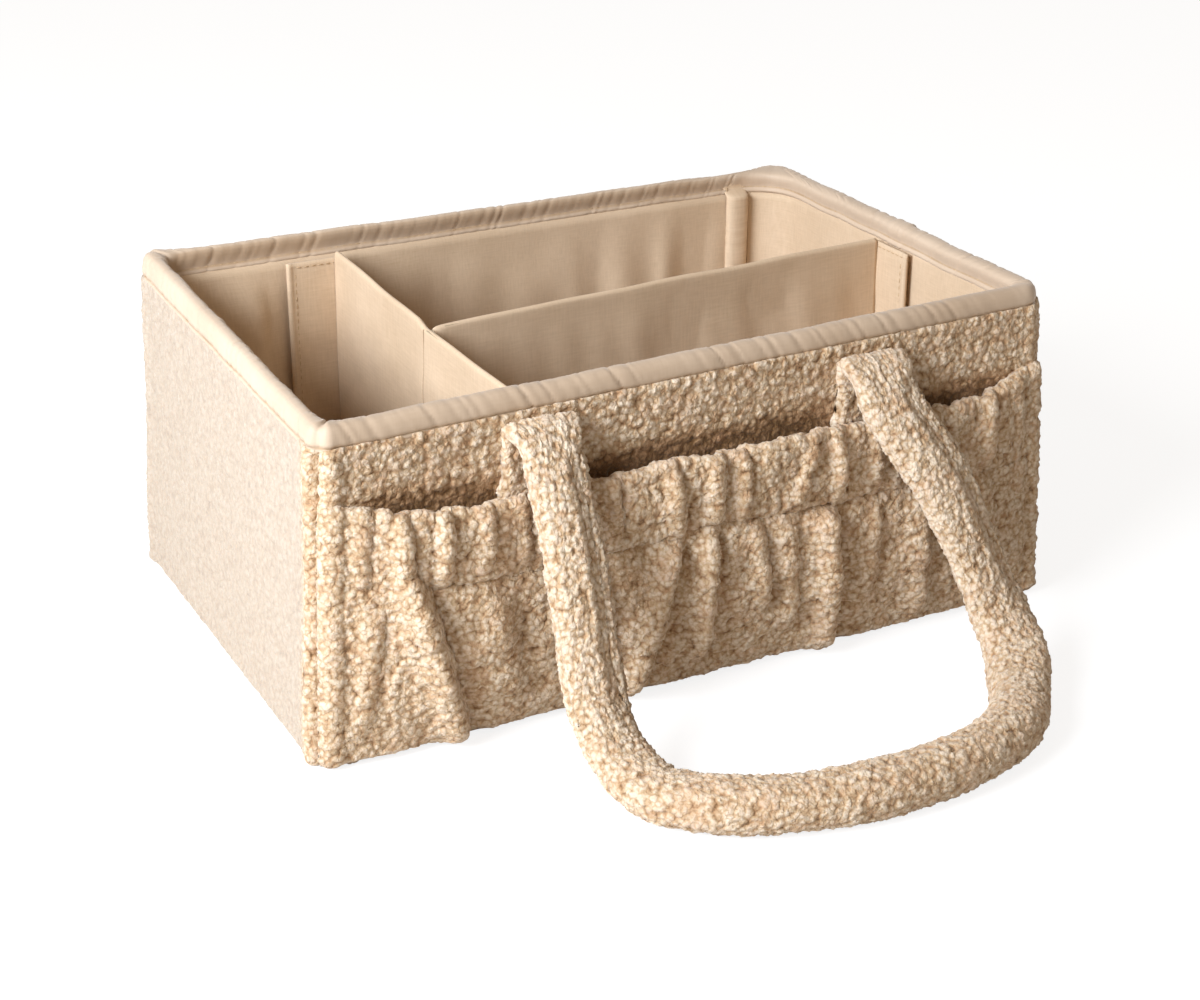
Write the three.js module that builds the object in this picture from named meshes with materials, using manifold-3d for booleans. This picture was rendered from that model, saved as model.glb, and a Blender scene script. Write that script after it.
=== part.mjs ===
// A soft storage basket: stiffened fleece walls, a bound rim, a lift-out T-shaped divider,
// an elasticated pocket on each long side and two padded handles that lie on the floor.
// Millimetres, +Z up. The origin is on the floor at the middle of the basket. The front faces -Y.
import * as THREE from "three";
import { mergeVertices } from "three/addons/utils/BufferGeometryUtils.js";
import Module from "manifold-3d";

const wasm = await Module();
wasm.setup();

// The basket
const length = 390; // left to right, over the fleece
const depth = 250; // front to back, over the fleece
const height = 170; // floor to the top of the rim
const cornerRadius = 12;
const layerGap = 0.2; // air between two layers that are sewn together
const cornerSeamGap = 0.3;
const tightestCorner = 0.5; // least radius of the inner layers' corners

// Layers of the base and the walls
const baseCoverThickness = 1.2;
const baseBoardThickness = 3;
const floorLiningThickness = 0.8;
const fleeceThickness = 4;
const wallBoardThickness = 3;
const liningThickness = 1;

// The rim binding
const bindingThickness = 1;
const bindingOuterDrop = 11;
const bindingInnerDrop = 12;
const bindingRound = 2;
const boardTopDrop = 9; // rim to the boards' top, so that the soft rim folds over above them

// The divider
const crossDividerX = -95; // middle of the panel that runs front to back
const crossDividerSkew = 2; // how far its rear end stands to the right of its middle
const dividerBoardThickness = 2.6;
const dividerCoverThickness = 1.4;
const dividerDrop = 7; // rim to the divider's top
const dividerSeamWeb = 6; // stitched strip between the two boards of the cross panel
const dividerSeamY = -14; // where the long panel is sewn to the cross panel
const longDividerWallY = 2; // where the long panel meets the right wall
const dividerRunningGap = 0.3;
const dividerPocketFloor = 3; // how far a board stops above the open lower edge of its sleeve

// Hook-and-loop fastening of the divider
const tabWidth = 26;
const tabThickness = 1.6;
const hookThickness = 1.4;
const loopThickness = 1.2;
const fastenerWidth = 25;
const fastenerFoot = 14; // above the basket floor
const fastenerHead = 2; // below the binding
const fastenerSwingGap = 0.6; // lets the long panel's tab swing past its strip

// The bound seam of the lining, near the rear right corner
const seamBindingWidth = 15;
const seamBindingDepth = 5;
const seamBindingFromCorner = 19;

// The elasticated pockets
const pocketFleece = 2.4; // outer layer
const pocketFacing = 1.6; // the folded-in layer of the header
const elasticThickness = 0.8;
const elasticWidth = 30;
const pocketTopDrop = 36; // rim to pocket mouth
const pocketHeader = 40; // mouth to the stitched line below the elastic
const pocketMouthGap = 6.3; // how far the mouth stands off the wall
const pocketRamp = 42; // length over which it closes on the wall at each end
const pocketLip = 1; // roundness of its folded top edge
const pocketSeamSetback = 1; // from the rounded corner to the pocket's sewn end
const pocketTaper = 2; // height over which the header's facing ends
const pocketRipple = 0.7;
const pocketRipples = 7; // gathers along the mouth
const pocketSteps = 46;

// The handles
const handleWidth = 180; // between the two sewn ends, middle to middle
const strapHingeDrop = 24; // rim to the fold of the strap
const strapTabHeight = 22;
const strapTabThickness = 5;
const strapWidth = 38;
const strapThickness = 19;
const strapEndThickness = 10;
const gripWidth = 27;
const gripThickness = 25;
const gripFloorGap = 0.5;
const handleReach = 143; // fold to the middle of the grip, along the floor
const handleFleece = 3.2;
const handleCoreSetback = 2; // steps at each end with no core
const handleCoreGap = 0.6;
const foldDepth = 2.6; // the line it turns about lies this far outside its sewn end
const foldClearance = 0.5;
const bandSquareness = 0.55; // of its section along the straps, where 1 is round
const gripSquareness = 0.9;
const strapFullShare = 0.12; // of the handle's length, where the strap is fully padded
const gripShares = [0.22, 0.42]; // where the strap starts to turn into the grip, and has
const levelShares = [0.12, 0.34]; // where the band starts to leave the wall's direction, and has
const handleSteps = 34;
const handleSides = 12;

// Heights and insets that follow. An inset is measured inwards from the outer face of the walls.
const fleeceFoot = baseCoverThickness + layerGap;
const baseBoardTop = fleeceFoot + baseBoardThickness;
const wallBoardFoot = baseBoardTop + layerGap;
const floorTop = wallBoardFoot + floorLiningThickness;
const liningFoot = floorTop + layerGap;
const wallTop = height - bindingThickness - layerGap;
const wallBoardTop = height - boardTopDrop;
const bindingOuterFoot = height - bindingOuterDrop;
const bindingInnerFoot = height - bindingInnerDrop;
const boardInset = fleeceThickness + layerGap;
const liningInset = boardInset + wallBoardThickness + layerGap;
const innerFace = liningInset + liningThickness;
const bindingInnerInset = innerFace + layerGap;
const bindingInnerFace = bindingInnerInset + bindingThickness;
const loopInset = innerFace + layerGap;
const dividerFoot = floorTop + dividerRunningGap;
const dividerTop = height - dividerDrop;
const dividerThickness = dividerBoardThickness + 2 * (dividerCoverThickness + layerGap);
const foldRadius = strapEndThickness / 2 + foldClearance;
const strapTabTop = height - strapHingeDrop - Math.sqrt(foldRadius ** 2 - foldDepth ** 2);

// Colours and finishes, one for each cloth or board
const finish = (color, roughness, metalness = 0) =>
  new THREE.MeshStandardMaterial({ color, roughness, metalness });
const fleece = finish("#d6b892", 0.95);
const liningCloth = finish("#cdb08c", 0.8);
const bindingTape = finish("#c9b79d", 0.7);
const stiffBoard = finish("#b9a88e", 0.85);
const canvas = finish("#bfa27c", 0.85);
const hookTape = finish("#6b5136", 0.9);
const loopTape = finish("#b3956e", 0.95);
const elasticTape = finish("#e9e2d4", 0.7);
const wadding = finish("#efe9dd", 1);

const basket = new THREE.Group();
const weldDistance = 1e-4; // two corners nearer than this are one
const cornerSteps = 6; // facets of a wall corner
const edgeSteps = 3; // facets of the rim's rounded edges
const roundSteps = 8; // facets of a half-round face
const cutPast = 1; // how far a cut runs on beyond the face that it opens

function place(name, geometry, material) {
  const mesh = new THREE.Mesh(geometry, material);
  mesh.name = name;
  basket.add(mesh);
}

// A closed geometry as a solid, for joining and cutting, and back again.
function solid(geometry) {
  const bare = geometry.clone();
  bare.deleteAttribute("normal");
  bare.deleteAttribute("uv");
  const merged = mergeVertices(bare, weldDistance);
  const vertProperties = new Float32Array(merged.attributes.position.array);
  const triVerts = new Uint32Array(merged.index.array);
  return new wasm.Manifold(new wasm.Mesh({ numProp: 3, vertProperties, triVerts }));
}

function geometryOf(manifold) {
  const mesh = manifold.getMesh();
  const geometry = new THREE.BufferGeometry();
  geometry.setAttribute("position", new THREE.BufferAttribute(mesh.vertProperties, 3));
  geometry.setIndex(new THREE.BufferAttribute(mesh.triVerts, 1));
  geometry.computeVertexNormals();
  return geometry;
}

// A box between two corners.
function slab([x0, y0, z0], [x1, y1, z1]) {
  const geometry = new THREE.BoxGeometry(x1 - x0, y1 - y0, z1 - z0);
  return geometry.translate((x0 + x1) / 2, (y0 + y1) / 2, (z0 + z1) / 2);
}

// An outline of [x, y] points raised from one height to another.
function raised(points, from, to) {
  const shape = new THREE.Shape(points.map(([x, y]) => new THREE.Vector2(x, y)));
  const geometry = new THREE.ExtrudeGeometry(shape, { depth: to - from, bevelEnabled: false });
  return geometry.translate(0, 0, from);
}

// Joins rings of points, each with as many points, into one skin. A closed run meets its own
// start. An open one is capped with flat ends, or with a second, inner set of rings for a bore.
function skin(rings, { closed = false, bore = null } = {}) {
  const position = [];
  const index = [];
  const sides = rings[0].length;
  const addRings = (set) => set.forEach((ring) => ring.forEach((p) => position.push(p.x, p.y, p.z)));
  const quad = (a, b, c, d) => index.push(a, b, c, a, c, d);
  addRings(rings);
  const runs = closed ? rings.length : rings.length - 1;
  for (let i = 0; i < runs; i++)
    for (let j = 0; j < sides; j++) {
      const a = i * sides;
      const b = ((i + 1) % rings.length) * sides;
      const k = (j + 1) % sides;
      quad(a + j, b + j, b + k, a + k);
    }
  const last = (rings.length - 1) * sides;
  if (bore) {
    addRings(bore);
    const start = rings.length * sides;
    for (let i = 0; i < runs; i++)
      for (let j = 0; j < sides; j++) {
        const a = start + i * sides;
        const b = a + sides;
        const k = (j + 1) % sides;
        quad(a + j, a + k, b + k, b + j);
      }
    for (let j = 0; j < sides; j++) {
      const k = (j + 1) % sides;
      quad(j, k, start + k, start + j);
      quad(last + k, last + j, start + last + j, start + last + k);
    }
  } else if (!closed) {
    capEnd(rings[0], 0, false, index);
    capEnd(rings[rings.length - 1], last, true, index);
  }
  const geometry = new THREE.BufferGeometry();
  geometry.setAttribute("position", new THREE.Float32BufferAttribute(position, 3));
  geometry.setIndex(index);
  return facingOut(geometry);
}

function capEnd(ring, start, reversed, index) {
  const normal = new THREE.Vector3();
  ring.forEach((p, i) => normal.add(p.clone().cross(ring[(i + 1) % ring.length])));
  const turn = new THREE.Quaternion().setFromUnitVectors(
    normal.normalize(),
    new THREE.Vector3(0, 0, 1),
  );
  const flat = ring.map((p) => p.clone().applyQuaternion(turn));
  for (const [a, b, c] of THREE.ShapeUtils.triangulateShape(flat, []))
    index.push(start + a, start + (reversed ? c : b), start + (reversed ? b : c));
}

// Turns a closed geometry's faces outwards if its volume comes out negative.
function facingOut(geometry) {
  const p = geometry.attributes.position;
  const index = geometry.index.array;
  const corner = (i) => new THREE.Vector3().fromBufferAttribute(p, index[i]);
  let volume = 0;
  for (let i = 0; i < index.length; i += 3)
    volume += corner(i).dot(corner(i + 1).cross(corner(i + 2)));
  if (volume < 0)
    for (let i = 0; i < index.length; i += 3)
      [index[i + 1], index[i + 2]] = [index[i + 2], index[i + 1]];
  geometry.computeVertexNormals();
  return geometry;
}

// The rounded corners of the plan, at an inset from the outer face of the walls.
const radiusAt = (inset) => Math.max(cornerRadius - inset, tightestCorner);

function arc(cx, cy, radius, from, to, steps) {
  return Array.from({ length: steps + 1 }, (_, i) => {
    const angle = THREE.MathUtils.degToRad(from + ((to - from) * i) / steps);
    return [cx + radius * Math.cos(angle), cy + radius * Math.sin(angle)];
  });
}

function planAt(inset) {
  const radius = radiusAt(inset);
  const cx = length / 2 - inset - radius;
  const cy = depth / 2 - inset - radius;
  return [
    ...arc(cx, cy, radius, 0, 90, cornerSteps),
    ...arc(-cx, cy, radius, 90, 180, cornerSteps),
    ...arc(-cx, -cy, radius, 180, 270, cornerSteps),
    ...arc(cx, -cy, radius, 270, 360, cornerSteps),
  ];
}

// The four walls: how far each runs, how far it stands from the middle, and its turn from the front.
const walls = {
  front: { run: length, reach: depth / 2, turn: 0 },
  right: { run: depth, reach: length / 2, turn: Math.PI / 2 },
  back: { run: length, reach: depth / 2, turn: Math.PI },
  left: { run: depth, reach: length / 2, turn: -Math.PI / 2 },
};

// One wall's layer between two insets, with half of each rounded corner, seen from above.
function wallPlan({ run, reach }, outer, inner) {
  const steps = cornerSteps / 2;
  const edge = (inset, reversed) => {
    const radius = radiusAt(inset);
    const seam = THREE.MathUtils.radToDeg(cornerSeamGap / 2 / radius);
    const cx = run / 2 - inset - radius;
    const cy = -(reach - inset - radius);
    const points = [
      ...arc(-cx, cy, radius, 225 + seam, 270, steps),
      ...arc(cx, cy, radius, 270, 315 - seam, steps),
    ];
    return reversed ? points.reverse() : points;
  };
  return [...edge(outer, false), ...edge(inner, true)];
}

function buildBase() {
  place("base_cover", raised(planAt(0), 0, baseCoverThickness), canvas);
  place("base_board", raised(planAt(boardInset), fleeceFoot, baseBoardTop), stiffBoard);
  place("floor_lining", raised(planAt(liningInset), wallBoardFoot, floorTop), liningCloth);
}

function buildWall(side) {
  const wall = walls[side];
  const underBinding = bindingThickness + layerGap;
  const stepHeight = bindingOuterFoot - layerGap;
  const lower = raised(wallPlan(wall, 0, fleeceThickness), fleeceFoot, stepHeight);
  const whole = raised(wallPlan(wall, underBinding, fleeceThickness), fleeceFoot, wallTop);
  const outside = geometryOf(solid(lower).add(solid(whole)));
  place(`${side}_fleece`, outside.rotateZ(wall.turn), fleece);

  const half = wall.run / 2 - cornerRadius;
  const face = -(wall.reach - boardInset);
  const board = slab([-half, face, wallBoardFoot], [half, face + wallBoardThickness, wallBoardTop]);
  place(`${side}_board`, board.rotateZ(wall.turn), stiffBoard);

  const inside = raised(wallPlan(wall, liningInset, innerFace), liningFoot, wallTop);
  place(`${side}_lining`, inside.rotateZ(wall.turn), liningCloth);
}

// One tape folded over the top edge of all four walls.
function buildRimBinding() {
  const roundZ = height - bindingRound;
  const roundTop = (cx, from, to) => arc(cx, roundZ, bindingRound, from, to, edgeSteps);
  const channelTop = height - bindingThickness;
  const section = [
    [0, bindingOuterFoot],
    ...roundTop(bindingRound, 180, 90),
    ...roundTop(bindingInnerFace - bindingRound, 90, 0),
    [bindingInnerFace, bindingInnerFoot],
    [bindingInnerInset, bindingInnerFoot],
    [bindingInnerInset, channelTop],
    [bindingThickness, channelTop],
    [bindingThickness, bindingOuterFoot],
  ];
  const loops = section.map(([inset]) => planAt(inset));
  const rings = loops[0].map((_, i) =>
    section.map(([, z], j) => new THREE.Vector3(...loops[j][i], z)),
  );
  place("rim_binding", skin(rings, { closed: true }), bindingTape);
}

// A sleeve of cloth, open below, with a slot for each board. Plans are given at a margin
// outside the board, so the same outline makes the cover and what it holds.
function sleeve(name, plan, slots) {
  let cover = solid(raised(plan, dividerFoot, dividerTop));
  for (const slot of slots) {
    const ceiling = dividerTop - dividerCoverThickness;
    cover = cover.subtract(solid(raised(slot, dividerFoot - cutPast, ceiling)));
  }
  place(name, geometryOf(cover), liningCloth);
}

function buildDivider() {
  const half = dividerThickness / 2;
  const hem = dividerCoverThickness;
  const web = dividerSeamWeb / 2;
  const boardHalf = dividerBoardThickness / 2;
  const slotHalf = boardHalf + layerGap;
  const tabFace = loopInset + loopThickness + layerGap + hookThickness + layerGap;
  const endInset = tabFace + tabThickness + layerGap;
  const boardFoot = dividerFoot + dividerPocketFloor;
  const boardTop = dividerTop - hem - layerGap;

  // The cross panel, from the front wall to the back wall
  const endY = depth / 2 - endInset;
  const crossX = (y) => crossDividerX + (crossDividerSkew * y) / endY;
  const crossStrip = (y0, y1, margin) => [
    [crossX(y0) - margin, y0],
    [crossX(y0) + margin, y0],
    [crossX(y1) + margin, y1],
    [crossX(y1) - margin, y1],
  ];
  const bays = { rear: [dividerSeamY + web, endY - hem], front: [hem - endY, dividerSeamY - web] };
  const slots = Object.values(bays).map(([y0, y1]) => crossStrip(y0, y1, slotHalf));
  sleeve("cross_divider_cover", crossStrip(-endY, endY, half), slots);
  for (const [end, [y0, y1]] of Object.entries(bays)) {
    const plan = crossStrip(y0 + layerGap, y1 - layerGap, boardHalf);
    place(`cross_divider_${end}_board`, raised(plan, boardFoot, boardTop), stiffBoard);
  }

  // The long panel, from the seam to the right wall. Its sewn end is round about the seam.
  const pivotX = crossX(dividerSeamY) + half + dividerRunningGap + half;
  const swing = fastenerSwingGap - layerGap;
  const endX = length / 2 - endInset - swing;
  const slope = Math.atan2(longDividerWallY - dividerSeamY, endX - pivotX);
  const longSide = (x, margin) =>
    dividerSeamY + (x - pivotX) * Math.tan(slope) + margin / Math.cos(slope);
  const longStrip = (x0, x1, margin) => [
    [x0, longSide(x0, -margin)],
    [x1, longSide(x1, -margin)],
    [x1, longSide(x1, margin)],
    [x0, longSide(x0, margin)],
  ];
  const turned = THREE.MathUtils.radToDeg(slope);
  const longPlan = [
    ...arc(pivotX, dividerSeamY, half, 90 + turned, 270 + turned, roundSteps),
    [endX, longSide(endX, -half)],
    [endX, longSide(endX, half)],
  ];
  const [slotStart, slotEnd] = [pivotX + web, endX - hem];
  sleeve("long_divider_cover", longPlan, [longStrip(slotStart, slotEnd, slotHalf)]);
  const longBoard = longStrip(slotStart + layerGap, slotEnd - layerGap, boardHalf);
  place("long_divider_board", raised(longBoard, boardFoot, boardTop), stiffBoard);

  // Each end folds along the wall as a tab, with hook tape behind it and loop tape on the lining
  const stripFoot = floorTop + fastenerFoot;
  const stripHead = bindingInnerFoot - fastenerHead;
  const fasten = (name, stripName, { reach, turn }, [low, high], extra) => {
    const inner = (low + high - fastenerWidth) / 2;
    const layer = (inset, thickness, x0, x1, z0, z1) =>
      slab([x0, -(reach - inset), z0], [x1, -(reach - inset - thickness), z1]).rotateZ(turn);
    const strip = [inner, inner + fastenerWidth, stripFoot, stripHead];
    const hookInset = loopInset + loopThickness + layerGap + extra;
    place(stripName, layer(loopInset, loopThickness, ...strip), loopTape);
    place(`${name}_hook_strip`, layer(hookInset, hookThickness, ...strip), hookTape);
    const tab = layer(tabFace + extra, tabThickness, low, high, dividerFoot, dividerTop);
    place(`${name}_tab`, tab, liningCloth);
  };
  const [rearX, frontX] = [crossX(endY), crossX(-endY)];
  const rearTab = [-rearX - half, -rearX + half + tabWidth];
  const frontTab = [frontX - half - tabWidth, frontX + half];
  const longTab = [longDividerWallY - half - tabWidth, longDividerWallY + half];
  fasten("cross_divider_rear", "back_loop_strip", walls.back, rearTab, 0);
  fasten("cross_divider_front", "front_loop_strip", walls.front, frontTab, 0);
  fasten("long_divider", "right_loop_strip", walls.right, longTab, swing);
}

// A bound vertical seam of the lining, near the rear right corner.
function buildSeamBinding() {
  const x1 = length / 2 - innerFace - seamBindingFromCorner;
  const y1 = depth / 2 - innerFace - layerGap;
  const middle = x1 - seamBindingWidth / 2;
  const plan = arc(0, 0, 1, 180, 360, roundSteps).map(([c, s]) => [
    middle + (c * seamBindingWidth) / 2,
    y1 + s * seamBindingDepth,
  ]);
  const top = bindingInnerFoot - layerGap;
  place("lining_seam_binding", raised(plan, floorTop + layerGap, top), bindingTape);
}

// An elasticated pocket on a long side, made for the front and turned round for the back.
function buildPocket(side) {
  const { turn } = walls[side];
  const end = length / 2 - cornerRadius - pocketSeamSetback;
  const header = pocketFleece + pocketFacing + elasticThickness + 2 * layerGap;
  const mouth = height - pocketTopDrop;
  const stitch = mouth - pocketHeader;
  const xs = Array.from({ length: pocketSteps + 1 }, (_, i) => -end + (2 * end * i) / pocketSteps);
  // How far the inside of the header stands off the wall
  const standOff = (x) => {
    const closing = THREE.MathUtils.smoothstep(end - Math.abs(x), 0, pocketRamp);
    const ripple = pocketRipple * Math.cos((x / end) * pocketRipples * Math.PI) * closing;
    return layerGap + (pocketMouthGap - layerGap) * closing + ripple * closing;
  };
  const wallFace = -depth / 2;
  const rings = (pointsAt) =>
    xs.map((x) => pointsAt(standOff(x)).map(([out, z]) => new THREE.Vector3(x, wallFace - out, z)));
  const panel = skin(
    rings((gap) => [
      [layerGap + pocketFleece, fleeceFoot],
      [gap + header, stitch],
      [gap + header, mouth - pocketLip],
      [gap + header - pocketLip, mouth],
      [gap + pocketLip, mouth],
      [gap, mouth - pocketLip],
      [gap, stitch + pocketTaper],
      [gap + header - pocketFleece, stitch],
      [layerGap, fleeceFoot],
    ]),
  );
  // The tunnel in the header for the elastic
  const tunnelFoot = mouth - (pocketHeader - pocketTaper + elasticWidth) / 2;
  const tape = (gap, margin) => {
    const inner = gap + pocketFacing + layerGap - margin;
    const outer = inner + elasticThickness + 2 * margin;
    const [foot, top] = [tunnelFoot - margin, tunnelFoot + elasticWidth + margin];
    return [[outer, foot], [outer, top], [inner, top], [inner, foot]];
  };
  const tunnel = skin(rings((gap) => tape(gap, layerGap)));
  const pastEnds = tunnel.clone().scale(1 + layerGap / end, 1, 1);
  const pocket = solid(panel).subtract(solid(tunnel).add(solid(pastEnds)));
  place(`${side}_pocket`, geometryOf(pocket).rotateZ(turn), fleece);
  const elastic = skin(rings((gap) => tape(gap, 0)));
  place(`${side}_pocket_elastic`, elastic.rotateZ(turn), elasticTape);
}

// A handle as it lies: out over the pocket, down to the floor and round. Each row gives how far
// out the strap has come and how high it still is, as shares of the reach and of the fold's
// height, and how far the left and the right strap have drifted to the right, as shares of the
// handle's width.
const drape = [
  [0, 1, 0, 0],
  [0.04, 0.972, 0, 0],
  [0.095, 0.915, 0, 0.01],
  [0.162, 0.81, 0, 0.055],
  [0.216, 0.67, 0, 0.105],
  [0.266, 0.505, 0, 0.155],
  [0.33, 0.325, -0.005, 0.195],
  [0.415, 0.165, -0.01, 0.222],
  [0.54, 0.05, -0.005, 0.21],
  [0.705, 0, 0.022, 0.128],
  [0.83, 0, 0.1, 0.05],
  [0.925, 0, 0.222, -0.045],
  [1, 0, 0.428, -0.25],
];

function handlePath() {
  const hingeY = -(depth / 2 + layerGap + strapTabThickness + foldDepth);
  const hingeZ = height - strapHingeDrop;
  const floorZ = gripFloorGap + gripThickness / 2;
  const point = (side, drift, out, high) =>
    new THREE.Vector3(
      handleWidth * (side + drift),
      hingeY - out * handleReach,
      floorZ + high * (hingeZ - floorZ),
    );
  const left = drape.map(([out, high, drift]) => point(-0.5, drift, out, high));
  const right = drape.map(([out, high, , drift]) => point(0.5, drift, out, high));
  return new THREE.CatmullRomCurve3([...left, ...right.reverse()], false, "centripetal");
}

// The handle's section at a share of its length, a margin inside its surface: a flat band where
// it is sewn, thick along each strap and almost round at the grip.
function handleSection(share, margin) {
  const fromEnd = 0.5 - Math.abs(share - 0.5);
  const rise = THREE.MathUtils.smoothstep(fromEnd, 0, strapFullShare);
  const grip = THREE.MathUtils.smoothstep(fromEnd, ...gripShares);
  const width = THREE.MathUtils.lerp(strapWidth, gripWidth, grip);
  const strap = THREE.MathUtils.lerp(strapEndThickness, strapThickness, rise);
  const thickness = THREE.MathUtils.lerp(strap, gripThickness, grip);
  const squareness = THREE.MathUtils.lerp(bandSquareness, gripSquareness, grip);
  return Array.from({ length: handleSides }, (_, i) => {
    const angle = (2 * Math.PI * (i + 0.5)) / handleSides;
    const [c, s] = [Math.cos(angle), Math.sin(angle)];
    return [
      Math.sign(c) * Math.abs(c) ** squareness * (width / 2 - margin),
      Math.sign(s) * Math.abs(s) ** squareness * (thickness / 2 - margin),
    ];
  });
}

function handleRings(curve, setback, margin) {
  return Array.from({ length: handleSteps + 1 - 2 * setback }, (_, i) => {
    const share = (setback + i) / handleSteps;
    const centre = curve.getPointAt(share);
    const along = curve.getTangentAt(share);
    // Each strap keeps its width level and along the wall, and the grip lies flat
    const level = new THREE.Vector3(0, 0, 1).cross(along).normalize();
    const onFloor = THREE.MathUtils.smoothstep(0.5 - Math.abs(share - 0.5), ...levelShares);
    const across = new THREE.Vector3(Math.sign(0.5 - share), 0, 0).lerp(level, onFloor);
    across.addScaledVector(along, -across.dot(along)).normalize();
    const outward = along.clone().cross(across);
    return handleSection(share, margin).map(([w, t]) =>
      centre.clone().addScaledVector(across, w).addScaledVector(outward, t),
    );
  });
}

function buildHandle(side) {
  const { turn } = walls[side];
  const curve = handlePath();
  const outer = handleRings(curve, 0, 0);
  const inner = handleRings(curve, 0, handleFleece);
  place(`${side}_handle_cover`, skin(outer, { bore: inner }).rotateZ(turn), fleece);
  const core = handleRings(curve, handleCoreSetback, handleFleece + handleCoreGap);
  place(`${side}_handle_core`, skin(core).rotateZ(turn), wadding);

  // The sewn ends of the strap, flat on the fleece and partly behind the pocket
  for (const [name, x] of [["left", -handleWidth / 2], ["right", handleWidth / 2]]) {
    const face = -depth / 2 - layerGap;
    const low = [x - strapWidth / 2, face - strapTabThickness, strapTabTop - strapTabHeight];
    const high = [x + strapWidth / 2, face, strapTabTop];
    place(`${side}_${name}_strap_end`, slab(low, high).rotateZ(turn), fleece);
  }
}

buildBase();
Object.keys(walls).forEach(buildWall);
buildRimBinding();
buildSeamBinding();
buildDivider();
["front", "back"].forEach(buildPocket);
["front", "back"].forEach(buildHandle);

export default basket;
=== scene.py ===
import math

import bmesh
import bpy
import numpy as np
from mathutils import Matrix, Vector


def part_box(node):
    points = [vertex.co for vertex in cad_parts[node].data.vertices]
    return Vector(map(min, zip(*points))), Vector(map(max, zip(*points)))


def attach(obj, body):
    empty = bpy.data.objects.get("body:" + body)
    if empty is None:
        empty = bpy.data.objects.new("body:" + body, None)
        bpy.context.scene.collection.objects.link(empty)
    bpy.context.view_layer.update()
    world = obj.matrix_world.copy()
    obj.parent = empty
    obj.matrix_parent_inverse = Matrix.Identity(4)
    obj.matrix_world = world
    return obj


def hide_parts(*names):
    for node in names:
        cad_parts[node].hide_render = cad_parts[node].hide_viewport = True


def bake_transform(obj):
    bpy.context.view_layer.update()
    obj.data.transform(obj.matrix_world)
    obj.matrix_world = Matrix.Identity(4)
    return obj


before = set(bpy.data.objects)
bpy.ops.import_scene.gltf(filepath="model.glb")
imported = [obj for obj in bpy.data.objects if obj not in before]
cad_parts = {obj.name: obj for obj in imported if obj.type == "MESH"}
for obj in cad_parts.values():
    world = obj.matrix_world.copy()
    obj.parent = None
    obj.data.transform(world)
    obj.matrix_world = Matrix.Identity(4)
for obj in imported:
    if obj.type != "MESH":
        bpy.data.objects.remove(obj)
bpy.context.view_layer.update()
mm = 0.001

# Sizes that several pieces share, in metres, as in the part's source
basketSize = {
    "length": 0.390,
    "depth": 0.250,
    "height": 0.170,
    # radii of the corners, and how round the soft lining turns there: front left, front right, rear
    # right, rear left
    "corners": (0.008, 0.011, 0.013, 0.008),
    "innerCorners": (0.004, 0.006, 0.024, 0.006),
    "innerFrom": (0.003, 0.008),  # insets between which a corner turns from the one to the other
    "leastCorner": 0.0006,
    "endFlare": 0.0095,  # how far the soft base spreads past the rim at each end
    "sideFlare": 0.0035,  # and along each long side
    # how far the soft rim stands up or sags: front left, front right, rear right, rear left
    "rimLift": (-0.0046, 0.0016, 0.0042, 0.0040),
    "softRim": (0.09, 0.16),  # heights between which that sets in
    "rearRise": 0.0026,  # how much taller the binding is at the rear left
    "rearLean": 0.0022,  # how far the rim leans out at the back
}
wallNames = ["front", "right", "back", "left"]


# Camera, at the photograph's angle

cameraView = {
    "position": (-0.48833, -0.95058, 0.52039),
    "target": (-0.03636, -0.08589, 0.085),
    "lens": 65.23,
}

camera = bpy.data.objects.new("camera", bpy.data.cameras.new("camera"))
bpy.context.scene.collection.objects.link(camera)
camera.location = cameraView["position"]
aim = Vector(cameraView["target"]) - Vector(cameraView["position"])
camera.rotation_euler = aim.to_track_quat("-Z", "Y").to_euler()
camera.data.lens = cameraView["lens"]
camera.data.clip_start = 0.05
bpy.context.scene.camera = camera
bpy.context.scene.view_settings.view_transform = "Standard"


# Node and colour helpers

def linear(code):
    values = [int(code[i : i + 2], 16) / 255 for i in (1, 3, 5)]
    return [v / 12.92 if v <= 0.04045 else ((v + 0.055) / 1.055) ** 2.4 for v in values] + [1.0]


def addNode(tree, kind, settings=None, links=None):
    # links: socket name or number to a value, or to the node or output that feeds it
    node = tree.nodes.new("ShaderNode" + kind)
    for key, value in (settings or {}).items():
        setattr(node, key, value)
    for key, value in (links or {}).items():
        if isinstance(value, bpy.types.Node):
            value = value.outputs[0]
        if isinstance(value, bpy.types.NodeSocket):
            tree.links.new(value, node.inputs[key])
        else:
            node.inputs[key].default_value = value
    return node


def newMaterial(name, **values):
    material = bpy.data.materials.new(name)
    material.use_nodes = True
    tree = material.node_tree
    shader = tree.nodes["Principled BSDF"]
    for key, value in values.items():
        shader.inputs[key.replace("_", " ")].default_value = value
    return material, tree, shader


def setRamp(node, stops):
    ramp = node.color_ramp
    while len(ramp.elements) < len(stops):
        ramp.elements.new(0.5)
    for element, (place, code) in zip(ramp.elements, stops):
        element.position = place
        element.color = linear(code)
    return node.outputs["Color"]


def joinSurface(tree, shader, colour, height, strength, depth):
    # Gives a shader its colour and the relief of a height
    tree.links.new(colour, shader.inputs["Base Color"])
    bump = addNode(tree, "Bump", links={"Strength": strength, "Distance": depth, "Height": height})
    tree.links.new(bump.outputs[0], shader.inputs["Normal"])


# Materials

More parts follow.
